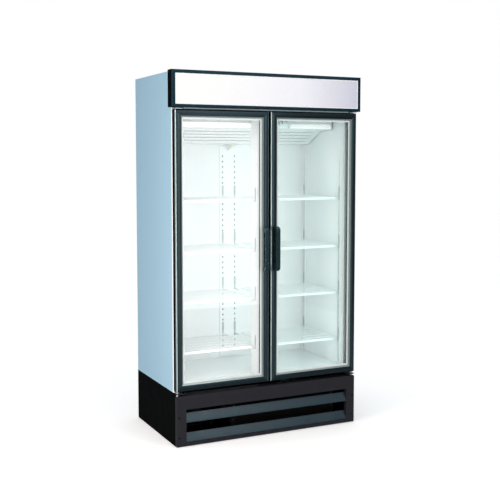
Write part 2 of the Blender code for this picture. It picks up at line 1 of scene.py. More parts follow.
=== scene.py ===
"""Looks for the glass door merchandiser: its cabinet, two hinged glass doors, lit sign box, wire shelves,
refrigeration unit and louvred base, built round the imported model.

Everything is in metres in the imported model's frame: +X to the viewer's right, +Y to the rear, +Z up.
"""

import math

import bmesh
import bpy
from mathutils import Matrix, Vector


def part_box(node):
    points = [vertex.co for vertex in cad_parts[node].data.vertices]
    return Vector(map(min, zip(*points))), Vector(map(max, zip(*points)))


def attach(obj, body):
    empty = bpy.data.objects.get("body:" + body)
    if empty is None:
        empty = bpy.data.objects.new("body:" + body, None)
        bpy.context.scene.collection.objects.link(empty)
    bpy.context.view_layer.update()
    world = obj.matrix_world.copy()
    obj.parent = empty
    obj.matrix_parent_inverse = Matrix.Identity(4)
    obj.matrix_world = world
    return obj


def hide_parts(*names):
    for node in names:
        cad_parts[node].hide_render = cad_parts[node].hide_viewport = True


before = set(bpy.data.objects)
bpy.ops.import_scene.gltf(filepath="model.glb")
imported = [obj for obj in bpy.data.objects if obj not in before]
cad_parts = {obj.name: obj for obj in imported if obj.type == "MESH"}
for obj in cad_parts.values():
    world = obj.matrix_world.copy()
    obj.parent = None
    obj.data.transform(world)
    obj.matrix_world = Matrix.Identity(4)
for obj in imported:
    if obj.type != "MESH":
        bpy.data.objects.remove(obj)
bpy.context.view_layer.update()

SIDES = (("left", -1), ("right", 1))
GAP = 0.0003            # left between pieces that meet

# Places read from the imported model
PANEL_LOW, PANEL_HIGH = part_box("right_side_panel")
FRONT_Y, REAR_Y = PANEL_LOW.y, PANEL_HIGH.y
HALF_WIDTH = PANEL_HIGH.x
BACK_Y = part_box("back_liner")[0].y
DOOR_LOW, DOOR_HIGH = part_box("right_door_frame")
GRILLE_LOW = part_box("front_grille_frame")[0]
HEADER_LOW, HEADER_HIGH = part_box("header_frame")
COVER_LOW, COVER_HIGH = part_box("evaporator_cover")

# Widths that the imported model's boxes don't show
STILE = 0.040           # visible width of a door's frame
POCKET = 0.012          # glass hidden behind the frame's lip
PIN_INSET = 0.012       # hinge pins from the doors' outer edges
PIN_Y = FRONT_Y - 0.026
PITCH = 0.032           # between the slots for the shelf clips
KNOB_Z = 1.744          # height of the thermostat knob's middle
SHEET = 0.0012          # thickness of the folded inner sheets
CHANNEL_SLOT_X = 0.0395  # slots on each side of the middle of the centre rear channel

FACING_Y = Matrix(((1, 0, 0), (0, 0, -1), (0, 1, 0))).to_4x4()   # an XY outline stood up in the XZ plane
FACING_X = Matrix(((0, 0, 1), (1, 0, 0), (0, 1, 0))).to_4x4()    # an XY outline stood up in the YZ plane


# ---------------------------------------------------------------- materials

def shader_node(tree, kind, inputs=None, **settings):
    """A shader node. An input is given a value, or a socket to link to it."""
    made = tree.nodes.new("ShaderNode" + kind)
    for name, value in settings.items():
        setattr(made, name, value)
    for name, value in (inputs or {}).items():
        if isinstance(value, bpy.types.NodeSocket):
            tree.links.new(value, made.inputs[name])
        else:
            made.inputs[name].default_value = value
    return made


def noise(tree, place, size, detail=3.0, stretch=(1, 1, 1)):
    """Soft noise from 0 to 1 whose patches are about size metres across, drawn out where stretch is over 1."""
    scale = [1.0 / (size * s) for s in stretch]
    spread = shader_node(tree, "Mapping", {"Vector": place, "Scale": scale})
    return shader_node(tree, "TexNoise", {"Vector": spread.outputs["Vector"], "Scale": 1.0,
                                          "Detail": detail}).outputs["Fac"]


def remap(tree, value, low, high, start=0.3, end=0.7):
    return shader_node(tree, "MapRange", {"Value": value, "From Min": start, "From Max": end,
                                          "To Min": low, "To Max": high}).outputs["Result"]


def tinted(tree, factor, colours):
    """A colour ramp over factor, spread evenly."""
    ramp = shader_node(tree, "ValToRGB", {"Fac": factor})
    while len(ramp.color_ramp.elements) < len(colours):
        ramp.color_ramp.elements.new(0.5)
    for number, colour in enumerate(colours):
        ramp.color_ramp.elements[number].position = number / (len(colours) - 1)
        ramp.color_ramp.elements[number].color = (*colour, 1.0)
    return ramp.outputs["Color"]


def scaled(colour, factor):
    return tuple(channel * factor for channel in colour)


def finish(name, colour, roughness, mottle=0.05, patch=0.12, grain=0.0012, relief=0.00002, stretch=(1, 1, 1),
           spread=0.06, **sockets):
    """A surface with a slightly uneven tone, gloss and grain. sockets are the shader's own, by name."""
    material = bpy.data.materials.new(name)
    material.use_nodes = True
    material.diffuse_color = (*colour, 1.0)
    tree = material.node_tree
    shader = tree.nodes["Principled BSDF"]
    place = shader_node(tree, "TexCoord").outputs["Object"]
    patches = noise(tree, place, patch, 4.0, stretch)
    fine = noise(tree, place, grain, 2.0, stretch)
    tone = tinted(tree, patches, [scaled(colour, 1 - mottle), colour, scaled(colour, 1 + mottle)])
    tree.links.new(tone, shader.inputs["Base Color"])
    gloss = remap(tree, noise(tree, place, patch * 0.35, 3.0, stretch), roughness - spread, roughness + spread)
    tree.links.new(gloss, shader.inputs["Roughness"])
    bump = shader_node(tree, "Bump", {"Height": fine, "Strength": 1.0, "Distance": relief})
    tree.links.new(bump.outputs["Normal"], shader.inputs["Normal"])
    for socket, value in sockets.items():
        shader.inputs[socket.replace("_", " ")].default_value = value
    return material


def glass(name):
    """A clear pane: faintly green straight on, and mirroring more and more at a slant."""
    material = bpy.data.materials.new(name)
    material.use_nodes = True
    material.diffuse_color = (0.85, 0.95, 0.93, 0.25)
    tree = material.node_tree
    tree.nodes.clear()
    slant = shader_node(tree, "LayerWeight", {"Blend": 0.5}).outputs["Facing"]
    rise = shader_node(tree, "Math", {0: slant, 1: 5.0}, operation="POWER").outputs["Value"]
    mirror = shader_node(tree, "Math", {0: rise, 1: 0.9, 2: 0.035}, operation="MULTIPLY_ADD").outputs["Value"]
    place = shader_node(tree, "TexCoord").outputs["Object"]
    tint = tinted(tree, noise(tree, place, 0.8), [(0.984, 0.992, 0.991), (0.990, 0.996, 0.995)])
    clear = shader_node(tree, "BsdfTransparent", {"Color": tint})
    gloss = shader_node(tree, "BsdfGlossy", {"Color": (0.9, 0.95, 0.95, 1.0), "Roughness": 0.02})
    both = shader_node(tree, "MixShader", {0: mirror, 1: clear.outputs[0], 2: gloss.outputs[0]})
    shader_node(tree, "OutputMaterial", {"Surface": both.outputs[0]})
    return material


def lit(name, colour, strength, glow, across=None, grain=0.0015):
    """A diffuser lit from behind. glow is the light's colours from one end of across, (low x, high x), to the other."""
    material = finish(name, colour, 0.30, 0.01, 0.2, grain, 0.00001)
    tree = material.node_tree
    shader = tree.nodes["Principled BSDF"]
    place = shader_node(tree, "TexCoord").outputs["Object"]
    along = shader_node(tree, "SeparateXYZ", {"Vector": place}).outputs["X"]
    share = shader_node(tree, "MapRange", {"Value": along, "From Min": across[0], "From Max": across[1]})
    tree.links.new(tinted(tree, share.outputs["Result"], glow), shader.inputs["Emission Color"])
    shader.inputs["Emission Strength"].default_value = strength
    return material


SIDE_PAINT = finish("side_paint", (0.330, 0.530, 0.670), 0.38, 0.012, 0.6, 0.0010, 0.000004, spread=0.03,
                    Specular_IOR_Level=0.4)
SILL_PAINT = finish("sill_paint", (0.24, 0.29, 0.31), 0.38, 0.02, 0.3, 0.0010, 0.000004)
WHITE_PAINT = finish("white_paint", (0.86, 0.88, 0.88), 0.32, 0.008, 0.5, 0.0012, 0.000004, spread=0.03)
FLOOR_PAINT = finish("floor_paint", (0.78, 0.83, 0.83), 0.14, 0.01, 0.4, 0.0030, 0.000004, spread=0.03,
                     Coat_Weight=0.4, Coat_Roughness=0.06)
BLACK_COAT = finish("black_coat", (0.0028, 0.0034, 0.0036), 0.62, 0.10, 0.2, 0.0008, 0.000008,
                    Specular_IOR_Level=0.01)
GRILLE_BLACK = finish("grille_black", (0.0185, 0.0185, 0.0235), 0.42, 0.08, 0.15, 0.0009, 0.00001,
                      Specular_IOR_Level=0.10)
# The louvres are painted a lighter, bluer grey than the grille frame: a painted highlight for the light their upturned
# slopes catch.
LOUVRE_GREY = finish("louvre_grey", (0.014, 0.030, 0.042), 0.34, 0.05, 0.15, 0.0009, 0.000008,
                     Specular_Tint=(0.80, 0.95, 1.0, 1.0))
HEADER_BLACK = finish("header_black", (0.0060, 0.0200, 0.0330), 0.30, 0.10, 0.15, 0.0009, 0.00001,
                      Specular_IOR_Level=0.22, Specular_Tint=(0.40, 0.85, 1.0, 1.0))
HANDLE_BLACK = finish("handle_black", (0.0050, 0.0150, 0.0190), 0.26, 0.10, 0.05, 0.0007, 0.000006,
                      Specular_IOR_Level=0.60, Specular_Tint=(0.50, 0.90, 1.0, 1.0))
# The door frame's uprights and rails share one anodised finish: the uprights are painted lighter and the rails darker,
# painted light and shade for how the light falls on them.
FRAME_UPRIGHT_LIT = finish("frame_upright_lit", (0.053, 0.088, 0.101), 0.25, 0.06, 0.02, 0.0005, 0.000004,
                       (1, 1, 60), Metallic=0.9)
FRAME_LEVEL_SHADED = finish("frame_level_shaded", (0.030, 0.050, 0.059), 0.26, 0.06, 0.02, 0.0005, 0.000004,
                     (60, 1, 1), Metallic=0.9)
# A lighter metal on the uprights' rounded outer corners: a painted highlight.
FRAME_EDGE_HIGHLIGHT = finish("frame_edge_highlight", (0.40, 0.53, 0.56), 0.30, 0.06, 0.02, 0.0005, 0.000004,
                    (1, 1, 60), Metallic=0.85)
# A lighter metal on the frame's sloped inner edge: a painted highlight.
FRAME_BEVEL_HIGHLIGHT = finish("frame_bevel_highlight", (0.36, 0.43, 0.43), 0.34, 0.06, 0.02, 0.0005, 0.000004, Metallic=0.8)
SPACER = finish("spacer_bar", (0.88, 0.92, 0.91), 0.45, 0.03, 0.05, 0.0006, 0.00001)
# The spacer's inner side is painted dark green: painted shade for the side seen between the panes, with the glass's
# tint.
SPACER_SIDE_SHADE = finish("spacer_side_shade", (0.045, 0.085, 0.082), 0.45, 0.10, 0.03, 0.0006, 0.00001)
GLASS = glass("clear_glass")
RUBBER = finish("gasket_rubber", (0.020, 0.021, 0.022), 0.60, 0.15, 0.05, 0.0007, 0.00003,
                Specular_IOR_Level=0.3)
WIRE = finish("white_wire_coating", (0.86, 0.89, 0.89), 0.30, 0.03, 0.05, 0.0008, 0.00001, Coat_Weight=0.3)
CLIP = finish("clip_steel", (0.46, 0.52, 0.51), 0.40, 0.06, 0.03, 0.0006, 0.00001, Metallic=0.2)
SLOT_SHADE = finish("slot_shade", (0.11, 0.15, 0.15), 0.6, 0.08, 0.03, Specular_IOR_Level=0.2)
SIDE_SLOT_SHADE = finish("side_slot_shade", (0.62, 0.70, 0.68), 0.6, 0.05, 0.03, Specular_IOR_Level=0.2)
ZINC = finish("zinc_plate", (0.74, 0.77, 0.78), 0.30, 0.08, 0.01, 0.0005, 0.00001, Metallic=0.95)
ALUMINIUM = finish("mill_aluminium", (0.70, 0.72, 0.74), 0.36, 0.06, 0.03, 0.0005, 0.00001, Metallic=0.95)
COPPER = finish("copper_tube", (0.72, 0.36, 0.22), 0.30, 0.12, 0.03, 0.0005, 0.00001, Metallic=0.95)
MOTOR = finish("motor_enamel", (0.012, 0.012, 0.013), 0.35, 0.2, 0.05, 0.0012, 0.00004)
CONTROL = finish("control_plastic", (0.84, 0.85, 0.85), 0.35, 0.02, 0.03, 0.0006, 0.00001)
# Dark marks: printed scale and pointer lines, the black cards of the stage, and on screw heads painted shade for their
# recessed crosses.
DARK_MARK = finish("dark_mark", (0.03, 0.03, 0.03), 0.5, 0.1, 0.02)
DRAIN_PVC = finish("drain_tube_pvc", (0.74, 0.72, 0.62), 0.35, 0.05, 0.03, 0.0008, 0.00001)
# The sign's glow fades and turns bluer towards its right end: painted shade for the light falling off to the right.
SIGN = lit("sign_acrylic", (0.30, 0.30, 0.32), 0.62,
           [(1.0, 1.0, 0.94), (0.98, 0.97, 0.96), (0.90, 0.89, 0.95), (0.46, 0.47, 0.60)],
           (-HALF_WIDTH, HALF_WIDTH))
LAMP = lit("interior_diffuser", (0.45, 0.46, 0.45), 0.95,
           [(0.8, 0.8, 0.78), (1.0, 1.0, 0.97), (1.0, 1.0, 0.97), (0.6, 0.62, 0.61), (0.60, 0.63, 0.61),
            (0.63, 0.65, 0.63), (0.59, 0.62, 0.60)], (-0.49, 0.49))
TUBE = lit("sign_tube", (0.9, 0.9, 0.9), 1.5, [(0.9, 0.9, 0.9), (1, 1, 1), (0.9, 0.9, 0.9)], (-0.52, 0.52))


# ---------------------------------------------------------------- shapes

def add_object(name, data):
    """A new object in the scene."""
    made = bpy.data.objects.new(name, data)
    bpy.context.scene.collection.objects.link(made)
    return made


def as_mesh(name, shape):
    """A mesh made from a shape, which is freed."""
    data = bpy.data.meshes.new(name)
    shape.to_mesh(data)
    shape.free()
    return data


def paint_new(shape, before, material):
    """Gives a material slot to the faces made since the shape had that many."""
    shape.faces.ensure_lookup_table()
    for face in shape.faces[before:]:
        face.material_index = material


def add_box(shape, low, high, material=0):
    before = len(shape.faces)
    size = Vector(high) - Vector(low)
    centre = (Vector(high) + Vector(low)) / 2
    bmesh.ops.create_cube(shape, size=1.0, matrix=Matrix.Translation(centre) @ Matrix.Diagonal((*size, 1.0)))
    paint_new(shape, before, material)


def add_rod(shape, start, end, radius, sides=16, material=0, end_radius=None):
    """A round bar or cone between two points."""
    before = len(shape.faces)
    start, end = Vector(start), Vector(end)
    way = end - start
    matrix = Matrix.Translation((start + end) / 2) @ way.to_track_quat("Z", "Y").to_matrix().to_4x4()
    bmesh.ops.create_cone(shape, cap_ends=True, segments=sides, radius1=radius,
                          radius2=radius if end_radius is None else end_radius, depth=way.length, matrix=matrix)
    paint_new(shape, before, material)


def add_prism(shape, outline, axis, low, high, material=0):
    """An outline in the plane across an axis, drawn out from low to high. u, v are Y, Z or X, Z or X, Y."""
    before = len(shape.faces)
    order = {"X": (2, 0, 1), "Y": (0, 2, 1), "Z": (0, 1, 2)}[axis]
    ends = [[shape.verts.new([(u, v, w)[i] for i in order]) for u, v in outline] for w in (low, high)]
    for cap in ends:
        shape.faces.new(cap)
    for number in range(len(outline)):
        after = (number + 1) % len(outline)
        shape.faces.new((ends[0][number], ends[0][after], ends[1][after], ends[1][number]))
    paint_new(shape, before, material)


def add_curve(shape, lines, radius=0.0, sides=8, cyclic=False, extrude=0.0, matrix=None, material=0):
    """Round wire along lines of points or, with no radius, a flat plate: its edge, then its openings."""
    before = len(shape.faces)
    data = bpy.data.curves.new("line", "CURVE")
    data.dimensions = "3D" if radius else "2D"
    if radius:
        data.bevel_depth, data.bevel_resolution = radius, (sides - 4) // 2
        data.use_fill_caps = True
    else:
        data.fill_mode, data.extrude = "BOTH", extrude
    for points in lines:
        spline = data.splines.new("POLY")
        spline.points.add(len(points) - 1)
        spline.use_cyclic_u = cyclic
        for target, point in zip(spline.points, points):
            target.co = (*point, 0.0, 1.0) if len(point) == 2 else (*point, 1.0)
    guide = add_object("line", data)
    mesh = bpy.data.meshes.new_from_object(guide.evaluated_get(bpy.context.evaluated_depsgraph_get()))
    if matrix is not None:
        mesh.transform(matrix)
    shape.from_mesh(mesh)
    bpy.data.objects.remove(guide)
    bpy.data.curves.remove(data)
    bpy.data.meshes.remove(mesh)
    paint_new(shape, before, material)


def add_plate(shape, outlines, facing, place, thickness, material=0):
    """A flat plate in the middle of its thickness at place: the first outline is its edge, the others its openings."""
    add_curve(shape, outlines, cyclic=True, extrude=thickness / 2, matrix=Matrix.Translation(place) @ facing,
              material=material)


def add_bars(shape, low, high, profile, joint=0.0, paint=None, bottom=1.0, top=1.0):
    """Four mitred bars round a rectangle in the XZ plane, low and high being its (x, z) corners. A profile point is
    (inset from the rectangle, y). joint is left open at each mitre, and paint(side of the profile, upright) is a
    slot. bottom and top narrow those bars."""
    corners = [((low[0], low[1]), (1, bottom)), ((high[0], low[1]), (-1, bottom)),
               ((high[0], high[1]), (-1, -top)), ((low[0], high[1]), (1, -top))]
    for number in range(4):
        (start, inward), (end, back) = corners[number], corners[(number + 1) % 4]
        upright = number % 2 == 1
        way = Vector((end[0] - start[0], 0, end[1] - start[1])).normalized() * joint
        rings = []
        for (x, z), (dx, dz), shift in ((start, inward, way), (end, back, -way)):
            rings.append([shape.verts.new(Vector((x + dx * inset, y, z + dz * inset)) + shift)
                          for inset, y in profile])
        for side in range(len(profile)):
            after = (side + 1) % len(profile)
            face = shape.faces.new((rings[0][side], rings[0][after], rings[1][after], rings[1][side]))
            face.material_index = paint(side, upright) if paint else 0
        for cap in rings:
            face = shape.faces.new(cap)
            face.material_index = paint(0, upright) if paint else 0


def add_screw(shape, place, way, radius=0.004, material=0, cross_shade=1):
    """A pan head screw whose head stands out along way, with a raised cross in it painted dark: painted shade for a
    recessed cross.
    """
    before = len(shape.verts)
    layers = ((0.0, 1.0), (0.25, 0.98), (0.45, 0.85), (0.58, 0.60))
    for (foot, wide), (head, narrow) in zip(layers, layers[1:]):
        add_rod(shape, (0, 0, foot * radius), (0, 0, head * radius), wide * radius, 16, material, narrow * radius)
    arm, depth = 0.45 * radius, 0.60 * radius
    for half in ((arm, 0.1 * radius), (0.1 * radius, arm)):
        add_box(shape, (-half[0], -half[1], 0.5 * radius), (half[0], half[1], depth), cross_shade)
    shape.verts.ensure_lookup_table()
    turn = Vector(way).to_track_quat("Z", "Y").to_matrix().to_4x4()
    bmesh.ops.transform(shape, matrix=Matrix.Translation(place) @ turn, verts=shape.verts[before:])


def rectangle(u0, v0, u1, v1):
    return [(u0, v0), (u1, v0), (u1, v1), (u0, v1)]


def arc(centre, radius, start, end, steps=6):
    """Points round a centre, from one angle to another in degrees."""
    angles = [math.radians(start + (end - start) * step / steps) for step in range(steps + 1)]
    return [(centre[0] + radius * math.cos(angle), centre[1] + radius * math.sin(angle)) for angle in angles]


def slot_outline(u, v, width, height):
    """An upright slot with round ends, its middle at (u, v)."""
    radius = width / 2
    straight = height / 2 - radius
    return arc((u, v + straight), radius, 0, 180, 4) + arc((u, v - straight), radius, 180, 360, 4)


def publish(name, shape, materials, body, replaces=(), rounding=0.0, segments=2, smooth=35):
    """Turns a shape into a piece that rides on a body."""
    bmesh.ops.recalc_face_normals(shape, faces=shape.faces)
    data = as_mesh(name, shape)
    for material in materials:
        data.materials.append(material)
    data.shade_smooth()
    data.set_sharp_from_angle(angle=math.radians(smooth))
    piece = add_object(name, data)
    if rounding:
        soften(piece, rounding, segments)
    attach(piece, body)
    if replaces:
        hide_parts(*replaces)
    return piece


def soften(piece, width, segments=2):
    """Rounds the sharp edges, keeping flat faces flat."""
    edges = piece.modifiers.new("rounded_edges", "BEVEL")
    edges.width = width
    edges.segments = segments
    edges.limit_method = "ANGLE"
    edges.angle_limit = math.radians(40)
    edges.harden_normals = True


def dress(node, material, rounding=0.0):
    """A CAD node keeps its shape and takes a material."""
    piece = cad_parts[node]
    piece.data.materials.clear()
    piece.data.materials.append(material)
    piece.data.shade_smooth()
    piece.data.set_sharp_from_angle(angle=math.radians(35))
    if rounding:
        soften(piece, rounding)


# ---------------------------------------------------------------- cabinet

def cabinet():
    for side, sign in SIDES:
        low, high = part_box(f"{side}_side_panel")
        shape = bmesh.new()
        add_box(shape, low, high)
        outer = sign * HALF_WIDTH
        for depth, radius in ((low.y, 0.010), (high.y, 0.003)):
            fold = [edge for edge in shape.edges
                    if all(abs(v.co.x - outer) + abs(v.co.y - depth) < 1e-5 for v in edge.verts)]
            bmesh.ops.bevel(shape, geom=fold, offset=radius, segments=6, profile=0.5, affect="EDGES")
        # The front fold's faces take the white paint: a white front edge, and also a painted highlight for the light
        # its rounded fold catches.
        for face in shape.faces:
            if face.calc_center_median().y < low.y + 0.0101:
                face.material_index = 1
        publish(f"{side}_folded_side", shape, [SIDE_PAINT, WHITE_PAINT], "cabinet",
                [f"{side}_side_panel"])
        dress(f"{side}_liner", WHITE_PAINT)
    for node in ("top_panel", "back_panel", "front_beam"):
        dress(node, SIDE_PAINT)
    dress("back_liner", WHITE_PAINT)
    dress("floor_panel", FLOOR_PAINT)
    dress("centre_mullion", WHITE_PAINT, 0.0008)
    low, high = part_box("floor_panel")
    # A black strip over the floor panel's front: painted shade for the dark gap under the doors.
    gap_shade = bmesh.new()
    add_box(gap_shade, (low.x, FRONT_Y - 0.003, low.z + 0.0005), (high.x, FRONT_Y - GAP, low.z + 0.019))
    publish("lower_front_gap_shade", gap_shade, [GRILLE_BLACK], "cabinet", rounding=0.0008)


def back_and_top():
    """Pressed ribs, foam plugs and screws on the back panel and the top, a blank rating plate and a cord grommet."""
    low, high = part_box("back_panel")
    columns = [low.x + 0.02 + (high.x - low.x - 0.04) * step / 6 for step in range(7)]
    rows = [low.z + 0.02 + (high.z - low.z - 0.04) * step / 9 for step in range(10)]
    places = [(x, z) for x in columns for z in (rows[0], rows[-1])]
    places += [(x, z) for x in (columns[0], columns[-1]) for z in rows[1:-1]]
    screws = bmesh.new()
    for x, z in places:
        add_screw(screws, (x, high.y, z), (0, 1, 0), 0.0045)
    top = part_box("top_panel")[1].z
    for x in (low.x + 0.02, -0.26, 0.0, 0.26, high.x - 0.02):
        for y in (FRONT_Y + 0.03, REAR_Y - 0.03):
            add_screw(screws, (x, y, top), (0, 0, 1), 0.0045)
    publish("back_and_top_screws", screws, [ZINC, DARK_MARK], "cabinet")
    ribs = bmesh.new()
    proud, half = 0.0020, 0.012
    section = [(-half, 0), (-half * 0.55, proud * 0.85), (-half * 0.2, proud), (half * 0.2, proud),
               (half * 0.55, proud * 0.85), (half, 0)]
    for z in (0.62, 0.98, 1.34, 1.70):
        add_prism(ribs, [(high.y - 0.0002 + v, z + u) for u, v in section], "X", -0.43, 0.43)
    for x in (-0.36, 0.36):
        add_prism(ribs, [(x + u, top - 0.0002 + v) for u, v in section], "Y", FRONT_Y + 0.08, REAR_Y - 0.08)
    publish("pressed_ribs", ribs, [SIDE_PAINT], "cabinet", smooth=60)
    plugs = bmesh.new()
    for x, z in ((-0.30, 0.42), (0.30, 0.42), (0.0, 1.86)):
        add_lathed(plugs, (x, high.y, z), [(0.0005, -0.0014), (0.010, -0.0014), (0.013, -0.0002), (0.013, 0.0002),
                                           (0.0005, 0.0002)], 28)
    publish("foam_plugs", plugs, [CONTROL], "cabinet", smooth=50)
    plate = bmesh.new()
    add_box(plate, (0.26, high.y - 0.0001, 0.47), (0.37, high.y + 0.0006, 0.54))
    publish("blank_rating_plate", plate, [ALUMINIUM], "cabinet", rounding=0.0003)
    grommet = bmesh.new()
    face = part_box("base_rear_grille")[1].y
    add_lathed(grommet, (0.40, face, 0.245), [(0.0050, -0.0024), (0.0125, -0.0024), (0.0145, -0.0008),
                                              (0.0145, -0.0001), (0.0105, -0.0001), (0.0105, 0.0050),
                                              (0.0050, 0.0050)], 28)
    publish("cord_grommet", grommet, [RUBBER], "cabinet", smooth=50)


def slot_heights():
    low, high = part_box("left_front_pilaster")
    count = int((high.z - low.z - 0.03) / PITCH)
    return [high.z - 0.018 - PITCH * number for number in range(count)]


def pilasters():
    """The slotted channels that carry the shelf clips."""
    slot_shades = bmesh.new()
    for side, sign in SIDES:
        for place in ("front", "rear"):
            name = f"{side}_{place}_pilaster"
            low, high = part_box(name)
            face = low.x + SHEET / 2 if sign > 0 else high.x - SHEET / 2
            edge = rectangle(low.y, low.z, high.y, high.z)
            middle = (low.y + high.y) / 2
            slots = [slot_outline(middle, z, 0.0075, 0.015) for z in slot_heights()]
            shape = bmesh.new()
            add_plate(shape, [edge, *slots], FACING_X, (face, 0, 0), SHEET)
            for y in (low.y, high.y - SHEET):
                inner, outer = (low.x + SHEET, high.x) if sign > 0 else (low.x, high.x - SHEET)
                add_box(shape, (inner, y, low.z), (outer, y + SHEET, high.z))
            publish(f"slotted_{name}", shape, [WHITE_PAINT], "cabinet", [name])
            # Strips behind the slots: painted shade for the inside of the channels, pale behind the side pilasters and
            # dark behind the centre channel.
            behind = face + sign * (SHEET / 2 + 0.0005)
            add_box(slot_shades, (behind - 0.0003, middle - 0.006, low.z + 0.01),
                    (behind + 0.0003, middle + 0.006, high.z - 0.01), 1)
    low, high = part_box("centre_rear_channel")
    shape = bmesh.new()
    slots = [slot_outline(x, z, 0.008, 0.012) for x in (-CHANNEL_SLOT_X, CHANNEL_SLOT_X) for z in slot_heights()]
    edge = rectangle(low.x, low.z, high.x, high.z)
    add_plate(shape, [edge, *slots], FACING_Y, (0, low.y + SHEET / 2, 0), SHEET)
    for x in (low.x, high.x - SHEET):
        add_box(shape, (x, low.y + SHEET, low.z), (x + SHEET, high.y, high.z))
    publish("slotted_centre_channel", shape, [WHITE_PAINT], "cabinet", ["centre_rear_channel"])
    for x in (-CHANNEL_SLOT_X, CHANNEL_SLOT_X):
        add_box(slot_shades, (x - 0.006, low.y + SHEET + 0.0002, low.z + 0.01),
                (x + 0.006, low.y + SHEET + 0.0008, high.z - 0.01))
    publish("slot_shade_strips", slot_shades, [SLOT_SHADE, SIDE_SLOT_SHADE], "cabinet")


# ---------------------------------------------------------------- shelves

SHELF_WIRES = 24
WIRE_RADIUS = 0.0015
RAIL_RADIUS = 0.0030


def shelves():
    for side, sign in SIDES:
        for number in range(1, 5):
            wire_shelf(f"{side}_shelf_{number}", side, sign)


def wire_shelf(node, side, sign):
    """Wires from front to rear, turned down over the front, on a rim and three cross rods. Four clips hold it."""
    low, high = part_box(node)
    level = (low.z + high.z) / 2
    x0, x1 = low.x + RAIL_RADIUS, high.x - RAIL_RADIUS
    y0, y1 = low.y + RAIL_RADIUS, high.y - RAIL_RADIUS
    corner = 0.010
    rim = []
    for centre, start in (((x1 - corner, y1 - corner), 0), ((x0 + corner, y1 - corner), 90),
                          ((x0 + corner, y0 + corner), 180), ((x1 - corner, y0 + corner), 270)):
        rim += [(*point, level) for point in arc(centre, corner, start, start + 90, 4)]
    shape = bmesh.new()
    add_curve(shape, [rim], RAIL_RADIUS, 10, cyclic=True)
    for share in (0.16, 0.33, 0.50, 0.67, 0.84):
        y = y0 + (y1 - y0) * share
        add_rod(shape, (x0, y, level - 0.0015), (x1, y, level - 0.0015), 0.0022, 10)
    drop = 0.0075
    add_rod(shape, (x0 + 0.004, y0, level - drop), (x1 - 0.004, y0, level - drop), RAIL_RADIUS, 10)
    top = level + RAIL_RADIUS - 0.0004
    lines = []
    for step in range(SHELF_WIRES + 1):
        x = x0 + 0.008 + (x1 - x0 - 0.016) * step / SHELF_WIRES
        turned = [(x, y, z) for y, z in arc((y0 - 0.0008, top - 0.003), 0.003, 90, 180, 3)]
        lines.append([(x, y1, top), *turned, (x, y0 - 0.0038, level - drop)])
    add_curve(shape, lines, WIRE_RADIUS, 8)
    publish(f"wire_{node}", shape, [WIRE], "cabinet", [node], smooth=60)
    clips = bmesh.new()
    base = low.z - 0.010
    for pilaster in ("front", "rear"):
        p_low, p_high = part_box(f"{side}_{pilaster}_pilaster")
        face = p_low.x if sign > 0 else p_high.x
        middle = (p_low.y + p_high.y) / 2
        add_clip(clips, (face - sign * 0.0008, middle, base), (-sign, 0))
    m_low, m_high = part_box("centre_mullion")
    add_clip(clips, (sign * (m_high.x + 0.0007), m_low.y + 0.045, base), (sign, 0))
    c_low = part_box("centre_rear_channel")[0]
    add_clip(clips, (sign * CHANNEL_SLOT_X, c_low.y - 0.0008, base), (0, -1))
    publish(f"{node}_clips", clips, [CLIP], "cabinet", rounding=0.0003)


def add_clip(shape, place, out):
    """A folded shelf clip: a tall tongue against the slotted strip, narrower below, and a ledge under the rim."""
    x, y, z = place
    outline = [(-0.0030, 0.0), (0.0030, 0.0), (0.0036, 0.020), (0.0058, 0.030), (0.0058, 0.074),
               (0.0040, 0.078), (-0.0040, 0.078), (-0.0058, 0.074), (-0.0058, 0.030), (-0.0036, 0.020)]
    thick = 0.0014
    if out[0]:
        ends = sorted((x - out[0] * 0.0004, x + out[0] * thick))
        add_prism(shape, [(y + u, z + v) for u, v in outline], "X", *ends)
        ledge = sorted((x, x + out[0] * 0.010))
        add_box(shape, (ledge[0], y - 0.0035, z + 0.001), (ledge[1], y + 0.0035, z + 0.0035))
    else:
        add_prism(shape, [(x + u, z + v) for u, v in outline], "Y", y - thick, y + 0.0004)
        add_box(shape, (x - 0.0045, y - 0.060, z + 0.001), (x + 0.0045, y, z + 0.0035))


# ---------------------------------------------------------------- evaporator cover, light and controls

